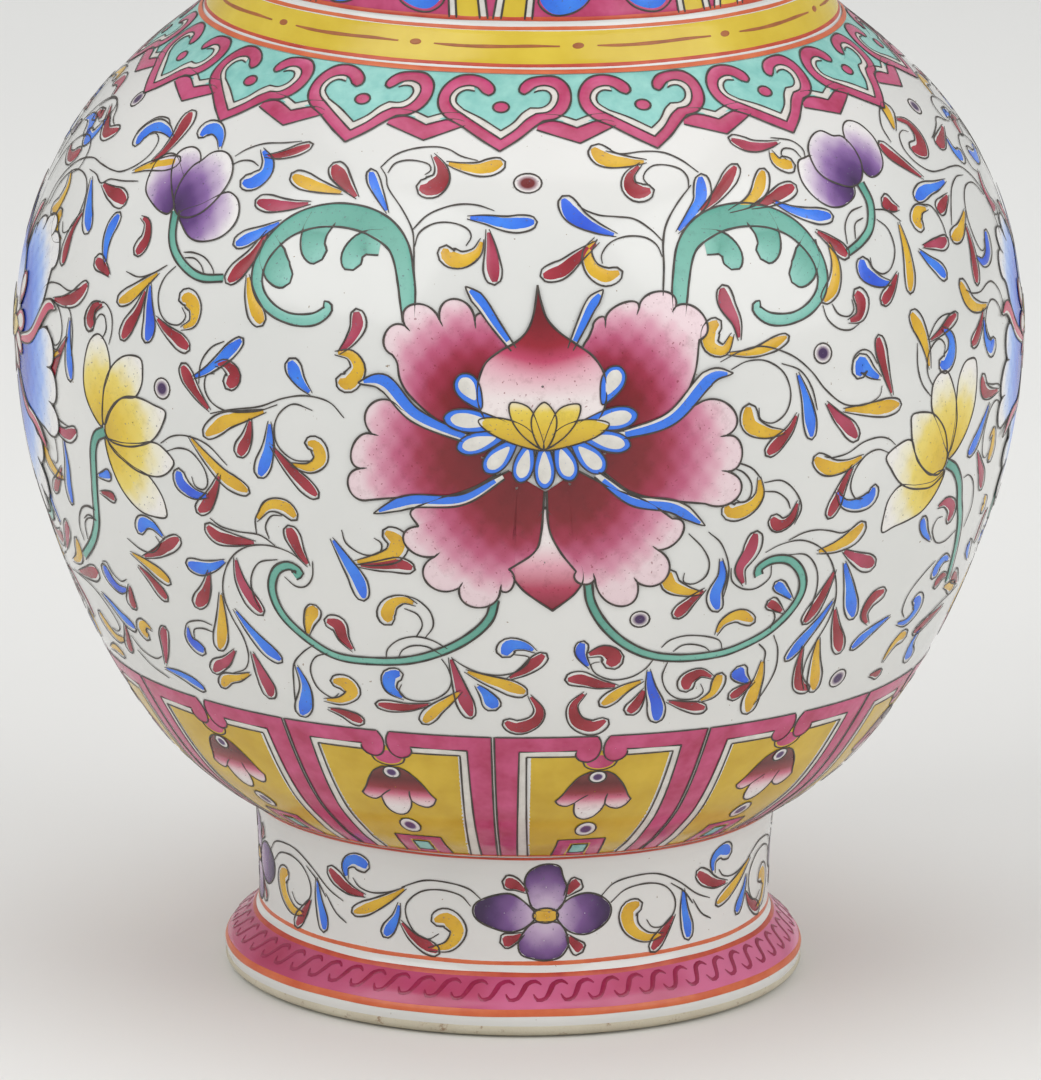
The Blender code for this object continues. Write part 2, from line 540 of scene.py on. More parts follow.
def ring(layer, low, high, level=0, height=0.06, wobble=0.12, seed=0.0, tint=None):
    """A painted band right round the vase, its edges a little uneven."""
    a = np.linspace(0.0, 2 * math.pi, 385)
    rows = max(int((high - low) / 1.2), 2) + 1
    wave = 0.6 * np.sin(7 * a + seed) + 0.4 * np.sin(17 * a + 2 * seed)
    lower = low + wobble * wave
    upper = high + wobble * np.roll(wave[:-1], 50)[np.arange(385) % 384]
    # The edge rises to full height within 0.3 mm, so that the ground never shows through beside it.
    rim = min(0.3 / (high - low), 0.2)
    v = np.concatenate([[0.0], np.linspace(rim, 1.0 - rim, rows), [1.0]])[:, None]
    s = lower + (upper - lower) * v
    lift = level * LEVEL + SUNK + (height - SUNK) * np.clip(np.minimum(v, 1.0 - v) / rim, 0, 1)
    grid = on_wall(0.0, s, np.broadcast_to(lift, s.shape), np.degrees(a)[None, :])
    layer.add(grid, tint)


def oval(layer, centre, half, turn, level=0, lean=0.0, height=0.09, tint=None, points=22):
    a = np.linspace(0.0, 2 * math.pi, points + 1)
    c, s = math.cos(math.radians(lean)), math.sin(math.radians(lean))
    u, v = half[0] * np.cos(a), half[1] * np.sin(a)
    edge = np.stack([centre[0] + u * c - v * s, centre[1] + u * s + v * c], axis=1)
    fan(layer, centre, edge, turn, level, height, tint, rings=5)
    return edge


def cornered(*runs):
    """A path through several runs of points: curved within a run, with a corner where two runs meet."""
    return np.concatenate([smooth(run) for run in runs])


# ---------------------------------------------------------------- enamels

ROSE = enamel("rose_enamel", (203, 84, 130), (172, 48, 88), 120.0)
FOOT_ROSE = enamel("foot_rose_enamel", (214, 112, 152), (172, 52, 90), 24.0)
PANEL_YELLOW = enamel("panel_yellow_enamel", (214, 180, 52), (196, 160, 34), 90.0)
COLLAR_YELLOW = enamel("collar_yellow_enamel", (222, 196, 66), (208, 178, 44), 60.0)
TURQUOISE = enamel("turquoise_enamel", (150, 210, 200), (122, 190, 182), 200.0)
IRON_RED = enamel("iron_red_line_enamel", (202, 88, 52), (178, 52, 38), 140.0, 0.35)
ORANGE = enamel("orange_line_enamel", (214, 112, 66), (200, 88, 48), 140.0, 0.35)
INK_LINE = enamel("black_outline_enamel", (74, 66, 58), (44, 38, 34), 400.0, 0.4)
RAISED_WHITE = enamel("raised_white_enamel", (226, 222, 214), (206, 202, 194), 300.0, 0.3)
DEEP_ROSE = enamel("deep_rose_enamel", (160, 40, 82), (140, 30, 66), 200.0)
BROWN = enamel("brown_line_enamel", (176, 106, 48), (150, 84, 40), 200.0, 0.4)
WASHED = tinted_enamel("washed_enamel")

# ---------------------------------------------------------------- the lappets above the foot

PANEL = 30.0
FIRST_AXIS = 12.0


def lappet_band():
    rose = Layer("lappet_rose_frames", ROSE, "pink_enamel")
    yellow = Layer("lappet_yellow_panels", PANEL_YELLOW, "yellow_enamel")
    white = Layer("lappet_white_borders", RAISED_WHITE)
    turquoise = Layer("lappet_turquoise_squares", TURQUOISE)
    flowers = Layer("lappet_pendant_flowers", WASHED, tinted=True)
    ink = Layer("lappet_outlines", INK_LINE)
    bottom, bar_low, bar_top = 50.8, 98.7, 103.4
    heights = np.linspace(bottom, bar_low, 30)
    corner_heights = np.linspace(bottom, bar_top, 32)
    half_panel = math.radians(PANEL / 2)

    def side(w, at):
        return np.stack([w - radius_of(at) * half_panel, at], axis=1)

    bell_edge = [(-2, 91.6), (-4.6, 89.8), (-6.4, 86.7), (-7.7, 83.6), (-9.1, 81.2), (-8.2, 79.8),
                 (-6.2, 79.1),
                 (-4.4, 80.4), (-4.0, 76.6), (-2.8, 74.2), (-1.0, 73.3), (0.8, 74.2), (2.4, 76.9),
                 (3.1, 79.6),
                 (4.5, 78.1), (6.6, 77.4), (8.3, 78.6), (9.4, 80.9), (8.5, 82.4), (7.3, 85.4), (5.8, 88.1),
                 (4, 90.4), (2.1, 91.6)]
    bell = cornered(bell_edge[:5], bell_edge[4:8], bell_edge[7:14], bell_edge[13:18], bell_edge[17:])
    bell_wash = washes((76.5, (236, 230, 228)), (79.5, (232, 202, 206)), (82.0, (206, 104, 132)),
                       (84.0, (142, 44, 52)), (87.5, (96, 34, 34)), (91.0, (120, 62, 60)))
    eye = washes((0.0, (70, 42, 92)), (0.55, (88, 60, 112)), (0.66, (232, 228, 226)), (1.0, (226, 222, 218)))
    for k in range(12):
        turn = FIRST_AXIS + PANEL * k
        inner_w = np.interp(heights, (bottom, bar_low), (4.3, 6.2))
        yellow_w = inner_w + np.interp(heights, (bottom, bar_low), (2.5, 1.7))
        left = side(yellow_w, heights)
        between(yellow, left, left * (-1, 1), turn, 0, 0.05, 16, 30, 24)
        for hand in (1, -1):
            outer = side(0.35, corner_heights) * (hand, 1)
            inner = side(inner_w, heights) * (hand, 1)
            border = side(yellow_w, np.linspace(bottom, bar_low - 1.7, 30)) * (hand, 1)
            between(rose, outer, inner, turn, 1, 0.08, 5, 60)
            between(white, inner, border, turn, 1, 0.06, 4, 60)
            top_outer = [outer[-1], (-1.4 * hand, bar_top + 0.1)]
            top_inner = [inner[-1], (-6.0 * hand, bar_low + 0.1)]
            between(rose, top_outer, top_inner, turn, 1, 0.08, 5)
            between(white, [inner[-1], (-6.0 * hand, bar_low)], [border[-1], (-6.3 * hand, bar_low - 1.6)],
                    turn, 1,
                    0.06, 4)
            lobe = smooth([(-1.4, bar_top), (-0.5, 101.4), (-0.35, 98.8), (-1.2, 96.2), (-3.2, 95.0),
                           (-5.3, 95.8),
                           (-6.3, 97.5), (-6.1, bar_low + 0.2)])
            fan(rose, (-3.2 * hand, 99.2), np.concatenate([lobe, [(-6.0, bar_top)], lobe[:1]]) * (hand, 1),
                turn, 1,
                0.085)
            line(ink, np.concatenate([outer, cornered([tuple(outer[-1] * (hand, 1)),
                                                       (-1.6, bar_top + 0.15)])[1:]
                                      * (hand, 1)]), turn, 2, 0.42)
            line(ink, np.concatenate([lobe, side(inner_w, heights)[::-1][:1]]) * (hand, 1), turn, 2, 0.42)
            line(ink, inner, turn, 2, 0.42)
            line(ink, border, turn, 2, 0.42)
            line(ink, smooth([tuple(border[-1]), (-6.2 * hand, bar_low - 1.75)]), turn, 2, 0.42)
        tie = smooth([(0, 97.6), (-2.4, 96.2), (-4.2, 95.0), (-2.8, 93.0), (0, 92.2), (2.8, 93.0),
                      (4.2, 95.0),
                      (2.4, 96.2)], closed=True)
        fan(rose, (0, 95), np.concatenate([tie, tie[:1]]), turn, 0, 0.08)
        line(ink, smooth([(-4.2, 95.4), (-3.6, 93.6), (-1.8, 92.4), (0, 92.1), (1.8, 92.4), (3.6, 93.6),
                          (4.2, 95.4)]),
             turn, 1, 0.42)
        fan(flowers, (0, 84.5), np.concatenate([bell, bell[:1]]), turn, 1, 0.09, lambda u,
            p: bell_wash(p[..., 1]))
        line(ink, bell, turn, 2, 0.42, closed=True)
        line(ink, smooth([(-4.4, 80.4), (-3.2, 81.8), (-1.4, 83.4)]), turn, 2, 0.42, (1, 0.4))
        line(ink, smooth([(3.1, 79.6), (3.0, 81.5), (3.3, 83.6)]), turn, 2, 0.42, (1, 0.4))
        for centre, half in (((0, 89.8), (2.1, 2.0)), ((0.2, 68.2), (2.5, 3.5))):
            line(ink, oval(flowers, centre, half, turn, 2, tint=lambda u, p: eye(u)), turn, 3, 0.4,
                 closed=True)
        square = [(-5.2, bottom), (-5.4, 62.1), (6.2, 62.3), (6.4, bottom)]
        window = [(-1.5, 53), (-1.5, 59), (2.4, 59), (2.4, 53), (-1.5, 53)]
        jambs = ([square[0], square[1], square[2], square[3]],
                 [(-2.0, bottom), (-2.0, 59.5), (2.9, 59.5), (2.9, bottom)])
        for i in range(3):
            between(rose, jambs[0][i:i + 2], jambs[1][i:i + 2], turn, 1, 0.08, 4)
        between(rose, [(-2.0, bottom), (-2.0, 53)], [(2.9, bottom), (2.9, 53)], turn, 1, 0.07, 4)
        between(turquoise, window[0:2], window[3:1:-1], turn, 1, 0.09, 4)
        for path in (square, window):
            for a, b in zip(path, path[1:]):
                line(ink, smooth([a, b]), turn, 2, 0.42)
    for layer in (yellow, rose, white, turquoise, flowers, ink):
        layer.build()


# ---------------------------------------------------------------- the ruyi heads under the collar

HEADS = 16
HEAD_TURN = -2.95


def ruyi_band():
    rose = Layer("ruyi_rose_bands", ROSE, "pink_enamel")
    turquoise = Layer("ruyi_turquoise_ground", TURQUOISE)
    white = Layer("ruyi_white_lines", RAISED_WHITE)
    ink = Layer("ruyi_outlines", INK_LINE)
    tip, inner_tip, heart_tip = (0, 254.6), (0.1, 258.1), (0, 260.6)
    left_outer = cornered([tip, (-4.8, 258.0), (-9.5, 261.7)], [(-9.5, 261.7), (-13.4, 264.2), (-15.2, 267.3),
                          (-15.1, 271), (-13.4, 274.4), (-10.5, 276.8), (-7, 277.2), (-4, 276), (-2.2, 273.9),
                          (-2.2, 272), (-3.4, 271.1)])
    left_inner = cornered([inner_tip, (-4, 261.2), (-8.5, 264.6)],
                          [(-8.5, 264.6), (-11.5, 267), (-12.5, 269.3),
                          (-12.1, 271.3), (-10.5, 273.2), (-8, 274), (-6.1, 273.4), (-4.9, 271.9),
                          (-3.4, 271.1)])
    left_heart = cornered([heart_tip, (-4.6, 264.0), (-9, 266.5)], [(-9, 266.5), (-11, 268.8), (-10.6, 271.2),
                          (-8.8, 272.6), (-6.7, 272.3)])
    right_outer = cornered([tip, (4.2, 258), (7.5, 261.4), (9.8, 263.6)], [(9.8, 263.6), (12.9, 264.3),
                           (15.3, 266.7), (16.1, 270.3), (15.2, 274.2), (12.6, 276.8), (9.3, 277.2),
                           (5.8, 276.4),
                           (3.9, 274.3), (3.8, 272.4), (5.0, 271.6)])
    right_inner = cornered([inner_tip, (3.2, 260.8), (5.8, 264), (8.0, 265.8)], [(8.0, 265.8), (10.8, 266.3),
                           (12.5, 268.4), (13, 271.3), (11.9, 273.5), (9.6, 274.4), (7.4, 273.8),
                           (6.2, 272.5),
                           (5.0, 271.6)])
    right_heart = cornered([heart_tip, (2.8, 263), (4.8, 265.9), (6.6, 267.5)], [(6.6, 267.5), (9.3, 267.6),
                           (11, 269.1), (11.3, 271.3), (10.1, 272.8), (8.3, 272.8), (7.2, 272.2)])
    heart = np.concatenate([left_heart, [(-4.6, 271.0), (-3, 270.4), (4.6, 270.8)], right_heart[::-1]])
    vee_low = cornered([(-9.6, 261.0), (0.3, 257.0)], [(0.3, 257.0), (9.4, 261.9)])
    vee_high = cornered([(-9.0, 262.6), (-6.5, 263.6), (-4, 263.4), (0, 261.6)],
                        [(0, 261.6), (4.0, 263.2), (6.8, 263.6), (9.0, 263.0)])
    white_low = cornered([(-7.6, 264.4), (-4, 264.0), (0, 262.0)], [(0, 262.0), (4, 264.0), (7.6, 264.4)])
    white_high = cornered([(-7.0, 265.6), (-3.4, 265.2), (0, 263.8)],
                          [(0, 263.8), (3.4, 265.2), (7.0, 265.6)])
    ring(turquoise, 263.4, 277.95, 0, 0.06, 0.0)
    for k in range(HEADS):
        turn = HEAD_TURN + 360.0 / HEADS * k
        middle = turn + 180.0 / HEADS
        between(rose, vee_low, vee_high, middle, 1, 0.08)
        between(white, white_low, white_high, middle, 1, 0.07, 3)
        for path in (vee_low, vee_high, white_high):
            line(ink, path, middle, 2, 0.42)
        for outer, inner, core in ((left_outer, left_inner, left_heart),
                                   (right_outer, right_inner, right_heart)):
            between(rose, outer, inner, turn, 2, 0.10, 6, 64)
            between(white, inner[:int(len(inner) * 0.88)], core, turn, 2, 0.06, 4, 54)
            for path, width in ((outer, 0.5), (inner, 0.42), (core, 0.42)):
                line(ink, path, turn, 3, width)
        fan(turquoise, (0, 268.6), np.concatenate([heart, heart[:1]]), turn, 1, 0.06)
        line(ink, oval(rose, (-0.3, 267.6), (1.9, 1.6), turn, 2), turn, 3, 0.5, closed=True)
    for layer in (turquoise, rose, white, ink):
        layer.build()


# ---------------------------------------------------------------- plain bands and lines round the vase


def running_scroll(layer, low, high, count, turn0):
    """Small waves following one another round the foot band."""
    for k in range(count):
        turn = turn0 + 360.0 / count * k
        tall = high - low
        wave = smooth([(-3.4, low + 0.30 * tall), (-2.6, low), (-0.6, low + 0.08 * tall),
                       (0.6, low + 0.45 * tall),
                       (1.8, low + 0.86 * tall), (3.8, high), (5.2, high - 0.2 * tall)], 0.8)
        line(layer, wave, turn, 1, 1.15, (0.3, 0.3))


def plain_bands():
    red = Layer("iron_red_lines", IRON_RED)
    orange = Layer("orange_lines", ORANGE)
    collar = Layer("collar_yellow_band", COLLAR_YELLOW, "yellow_enamel")
    dashes = Layer("collar_brown_dashes", BROWN)
    foot = Layer("foot_rose_band", FOOT_ROSE, "pink_enamel")
    scroll = Layer("foot_band_running_scroll", DEEP_ROSE)
    ring(foot, 8.2, 18.2, 0, 0.05, 0.15, 1.0)
    running_scroll(scroll, 11.2, 16.6, 64, 1.5)
    ring(orange, 7.0, 8.8, 1, 0.06, 0.12, 0.3)
    ring(red, 17.7, 19.0, 1, 0.06, 0.12, 2.1)
    ring(orange, 20.7, 21.9, 0, 0.06, 0.12, 4.0)
    ring(red, 48.3, 49.4, 2, 0.06, 0.15, 5.0)
    ring(orange, 50.4, 51.2, 3, 0.06, 0.15, 0.9)
    ring(orange, 277.8, 279.1, 4, 0.06, 0.10, 2.0)
    ring(red, 279.8, 280.7, 1, 0.06, 0.10, 3.0)
    ring(collar, 280.5, 288.9, 0, 0.07, 0.05, 1.7)
    ring(orange, 289.0, 289.9, 1, 0.06, 0.10, 0.5)
    ring(red, 291.2, 292.2, 2, 0.06, 0.10, 1.2)
    for k in range(12):
        turn = -19.7 + 30.0 * k
        oval(dashes, (0, 285.1), (1.5, 0.8), turn, 1, 4.0)
        line(dashes, smooth([(4.6, 285.0), (12, 284.8), (20, 284.9), (28, 285.1), (34.6, 285.0)], 1.2), turn,
             1, 0.8,
             (0.5, 0.5))
    for layer in (foot, scroll, orange, red, collar, dashes):
        layer.build()


lappet_band()
ruyi_band()
plain_bands()

# ---------------------------------------------------------------- the great lotus flowers

BLUE = (58, 120, 228)


def petal_wash(root, reach, stops):
    """Colour by the distance from a petal's root, paler near its scalloped rim."""
    wash = washes(*stops)
    root = np.asarray(root, float)

    def tint(u, places):
        away = np.linalg.norm(places - root, axis=-1) / reach
        cloud = 0.035 * np.sin(places[..., 0] * 1.1 + 2.0) * np.sin(places[..., 1] * 0.9)
        return wash(np.clip(away + cloud + 0.10 * u ** 10 * (away > 0.55), 0, 1))

    return tint


RED_PETAL = ((0.0, (104, 18, 22)), (0.32, (124, 22, 32)), (0.48, (156, 42, 68)), (0.64, (186, 86, 120)),
             (0.80, (210, 142, 164)), (0.93, (224, 184, 194)), (1.0, (230, 206, 210)))
BLUE_PETAL = ((0.0, (30, 48, 150)), (0.34, (44, 76, 190)), (0.55, (82, 126, 226)), (0.74, (140, 174, 240)),
              (0.88, (200, 214, 240)), (1.0, (234, 232, 230)))


def drop(centre, tip, width):
    """A petal outline from its inner end to its round outer tip."""
    (x0, s0), (x1, s1) = centre, tip
    length = math.hypot(x1 - x0, s1 - s0)
    u = np.array([(x1 - x0) / length, (s1 - s0) / length])
    v = np.array([-u[1], u[0]])
    shape = [(0, 0), (0.3, 0.34), (0.62, 0.5), (0.88, 0.38), (1, 0), (0.88, -0.38), (0.62, -0.5),
             (0.3, -0.34)]
    return [tuple(np.asarray(centre) + a * length * u + b * width * v) for a, b in shape]


def scaled(path, centre, k):
    return np.asarray(centre) + (np.asarray(path) - centre) * k


def great_lotus(layers, turn, wash, accent, bud_wash, stretch=1.0, lift=0):
    """One open lotus seen from the front: six scalloped petals, a bud petal, a ring of small white ones."""
    petals, ink, blue, white, seat = layers

    def put(points):
        return np.asarray(points, float) * (stretch, 1)

    def petal(root, reach, before, scallops, after, level):
        start = before[-1]
        rim = lobes(start, scallops)
        lead = smooth(before) if len(before) > 1 else np.array(before, float)
        tail = smooth([scallops[-1][1], *after])
        outline = put(np.concatenate([lead, rim, tail]))
        root = np.asarray(root) * (stretch, 1)
        fan(petals, root, np.concatenate([outline, outline[:1]]), turn, lift + level, 0.08,
            petal_wash(root, reach, wash))
        line(ink, outline, turn, lift + level + 1, 0.5)
        for _, notch in scallops[:-1]:
            inward = np.asarray(notch) + (root / (stretch, 1) - notch) / np.linalg.norm(root - notch) * 1.7
            line(ink, put(smooth([tuple(notch), tuple(inward)])), turn, lift + level + 1, 0.42, (1, 0.3))

    # The lowest, pointed petal shows only its end between the two scalloped ones.
    tip_wash = washes((141, (120, 26, 40)), (147, (176, 60, 86)), (153, (222, 160, 174)),
                      (159, (236, 226, 224)))
    pointed = put(cornered([(6.5, 168), (1.0, 160), (-1.6, 153), (1.2, 147), (8.5, 141)],
                           [(8.5, 141), (14.0, 146), (15.6, 151), (12.5, 160), (6.5, 168)]))
    fan(petals, (6.5 * stretch, 154), pointed, turn, lift + 0, 0.07, lambda u, p: tip_wash(p[..., 1]))
    line(ink, pointed, turn, lift + 1, 0.5)
    petal((-8, 192), 27, [(-9, 184), (-18, 188), (-25, 193.5), (-27.8, 197.5), (-28.6, 201.5),
                          (-29.8, 203.3)],
          [((-32.2, 208.3), (-26.8, 210.2)), ((-25.0, 216.2), (-18.6, 212.0)),
           ((-15.2, 218.0), (-10.3, 212.0)),
           ((-8.2, 214.4), (-5.4, 211.6))], [(-4.8, 209.3), (-2.8, 205), (-6, 196)], 0)
    petal((20, 191), 27, [(21, 184), (33, 188.6), (39, 193), (42, 199), (43, 206.5)],
          [((44.8, 212.4), (37.2, 214.8)), ((33.2, 219.2), (28.2, 214.8)), ((24.2, 216.6), (20.2, 212.2)),
           ((18.6, 213.2), (17.2, 210.6))], [(16.4, 208.6), (14.6, 204.6), (16, 196)], 0)
    petal((-8, 180), 31, [(-6, 186), (-12, 184.6), (-18, 186.2), (-27.6, 190.8)],
          [((-35.4, 192.2), (-34.6, 184.4)), ((-40.0, 180.8), (-37.4, 175.8)),
           ((-41.0, 170.8), (-35.2, 168.2))],
          [(-28, 169.3), (-18, 169.8), (-10, 172.8), (-5, 176)], 1)
    petal((20, 181), 32, [(18, 187), (28, 186.2), (38, 190), (43, 191.8)],
          [((52.4, 190.4), (50.2, 183.6)), ((55.0, 179.2), (50.6, 174.8)), ((54.6, 168.0), (45, 167.3))],
          [(36, 168.8), (27, 171.2), (20, 176.5)], 1)
    petal((0, 173), 29, [(-2, 177), (-10, 172.6), (-19, 169.4), (-25, 166.2), (-23.2, 162.5)],
          [((-27.4, 157.6), (-19.3, 154.9)), ((-22.0, 147.4), (-13.4, 147)), ((-9.2, 140.8), (-3.8, 146.6)),
           ((-0.4, 147.6), (-1.8, 152.2))], [(4, 156.6), (5.6, 161.4), (6.3, 172)], 2)
    petal((12, 174), 29, [(6.8, 172), (7.4, 163), (10, 157), (13.9, 151.6)],
          [((14.6, 148.0), (18.4, 149.4)), ((24.6, 140.6), (28.6, 148.1)), ((36.6, 148.6), (33.4, 156.4)),
           ((40.2, 160.2), (36.8, 164.2))], [(31, 168.6), (22, 172.6), (14, 177)], 2)

    blades = (([(-12.6, 220), (-9.0, 216.4), (-5.4, 211.2), (-1.2, 205.6)], 3.0),
              ([(19.6, 219.4), (16.8, 216.0), (14.6, 211.4), (12.0, 205.6)], 3.0),
              ([(-38, 196.2), (-31.6, 196.6), (-24, 189.4), (-10.5, 184)], 4.0),
              ([(51.6, 198.2), (45.4, 197.6), (36.0, 188.6), (23, 185)], 4.0),
              ([(-34, 165), (-25, 168.6), (-13, 169.6), (-3.4, 175.6)], 3.4),
              ([(45, 161.8), (37, 167.2), (27, 169.4), (18.4, 176)], 3.4))
    for points, width in blades:
        path = put(smooth(points))
        t = np.linspace(0, 1, len(path))
        half = width / 2 * np.clip(t * 5, 0, 1) ** 0.8 * (1 - 0.55 * t ** 2)
        ribbon(white, path, half, turn, lift + 3, 0.06, 5, bulge=6)
        lean = 0.16 * half[2:-3, None] * across(path)[2:-3]
        ribbon(blue, path[2:-3] + lean, 0.72 * half[2:-3], turn, lift + 4, 0.06, 4, tint=linear(accent))
        side = across(path) * half[:, None]
        line(ink, path + side, turn, lift + 4, 0.42)
        line(ink, path - side, turn, lift + 4, 0.42)

    bud = cornered([(4, 184), (-4, 186), (-8.4, 190.4), (-9.6, 196), (-8, 201.8), (-4.6, 205), (-0.6, 207.4),
                    (2, 210.2), (3.4, 214.2), (4.2, 220.6)],
                   [(4.2, 220.6), (5.2, 216.2), (6.6, 212.6), (9.4, 209.6), (13.4, 206.8), (17.2, 204),
                    (19.8, 200.2),
                    (20.6, 196), (19.8, 191), (16, 186.4), (8, 184)])
    bud = put(bud)
    fan(petals, (5.6 * stretch, 197), np.concatenate([bud, bud[:1]]), turn, lift + 4, 0.09,
        lambda u, p: bud_wash(p[..., 1] - 0.10 * np.abs(p[..., 0] / stretch - 5.5) ** 1.4
                               * np.clip((p[..., 1] - 194) / 9, 0, 1)))
    line(ink, bud, turn, lift + 5, 0.5, closed=True)

    small = (((-8.6, 191.6), (-13.8, 199.4), 5.8), ((-2, 188), (-17.4, 189.2), 5.4),
             ((-2, 186), (-14.2, 182), 5.0),
             ((0, 185), (-7.6, 176.6), 5.2), ((3, 185), (0.4, 174.2), 4.8), ((6, 185), (6.4, 172.6), 4.8),
             ((9, 185), (12.6, 174.6), 5.2), ((12, 185), (20.2, 176.6), 5.4), ((13, 186), (26.4, 182.6), 5.0),
             ((14, 188), (28, 190), 5.4), ((19.6, 192.6), (23.6, 201.4), 5.6))
    for root, tip, width in small:
        edge = put(smooth(drop(root, tip, width), closed=True))
        middle = edge.mean(0)
        far = scaled([(tip[0] * stretch, tip[1])], middle, 0.9)[0]
        heart = (middle + far) / 2
        fan(blue, middle, np.concatenate([edge, edge[:1]]), turn, lift + 5, 0.08, tint=lambda u,
            p: linear(accent))
        core = scaled(edge, heart, 0.68)
        fan(white, core.mean(0), np.concatenate([core, core[:1]]), turn, lift + 6, 0.10)
        line(ink, edge, turn, lift + 6, 0.36, closed=True)

    pieces = (([(6, 182.2), (0, 183.2), (-6.5, 186), (-9.2, 189), (-4, 189.6), (2, 187.4)], 0),
              ([(6, 182.2), (12, 183), (18.4, 185.2), (21.2, 188.2), (15.4, 189.2), (9.6, 187.2)], 0),
              ([(6, 182.4), (1.4, 185.2), (-1.6, 189.4), (-1.8, 193.2), (2.4, 192.2), (4.6, 188)], 1),
              ([(6, 182.4), (10.6, 185), (13.8, 189.2), (14.2, 192.8), (9.8, 192), (7.4, 188)], 1),
              ([(6, 182), (3.6, 185.6), (3.2, 190), (6, 193.4), (8.8, 190), (8.4, 185.6)], 2))
    yolk = washes((0.0, (190, 150, 40)), (0.5, (216, 182, 56)), (0.85, (226, 200, 82)),
                  (1.0, (238, 226, 190)))
    for points, step in pieces:
        edge = put(smooth(points, closed=True))
        fan(seat, put([points[0]])[0] * 0.4 + edge.mean(0) * 0.6, np.concatenate([edge, edge[:1]]), turn,
            lift + 7 + step,
            0.08, lambda u, p: yolk(np.clip((p[..., 1] - 181.5) / 11.5, 0, 1)))
        line(ink, edge, turn, lift + 8 + step, 0.36, closed=True)


WASHED_PLAIN = tinted_enamel("washed_smooth_enamel", (90, 90, 110), 0.18)


def lotuses():
    petals = Layer("lotus_petals", WASHED, "pink_enamel", True)
    blue_petals = Layer("blue_lotus_petals", tinted_enamel("washed_blue_enamel", (40, 60, 150), 0.25),
                        tinted=True)
    ink = Layer("lotus_outlines", INK_LINE)
    blue = Layer("lotus_blue_leaves", WASHED_PLAIN, tinted=True)
    white = Layer("lotus_white_petals", RAISED_WHITE)
    seat = Layer("lotus_yellow_seats", WASHED_PLAIN, "yellow_enamel", True)
    red_bud = washes((184, (238, 230, 226)), (194, (234, 222, 220)), (199, (222, 168, 180)),
                     (202.5, (190, 72, 104)),
                     (206, (150, 34, 48)), (212, (116, 26, 32)), (220, (104, 24, 30)))
    blue_bud = washes((184, (238, 232, 228)), (194, (230, 226, 232)), (199, (170, 190, 236)),
                      (203, (84, 124, 222)),
                      (207, (44, 74, 190)), (220, (34, 50, 150)))
    for half in (0, 180):
        great_lotus((petals, ink, blue, white, seat), half, RED_PETAL, BLUE, red_bud, lift=3)
        great_lotus((blue_petals, ink, blue, white, seat), half + 90, BLUE_PETAL, (196, 66, 96), blue_bud,
                    lift=3)
    for layer in (petals, blue_petals, ink, blue, white, seat):
        layer.build()


lotuses()

# ---------------------------------------------------------------- the scrolling leaves

LEAF_COLOURS = {
    "r": ((138, 32, 40), (170, 54, 68)),
    "p": ((176, 66, 92), (150, 40, 60)),
    "y": ((222, 178, 48), (206, 156, 34)),
    "b": ((62, 132, 236), (48, 104, 224)),
    "c": ((46, 84, 208), (60, 110, 226)),
    "g": ((112, 176, 160), (92, 160, 144)),
}


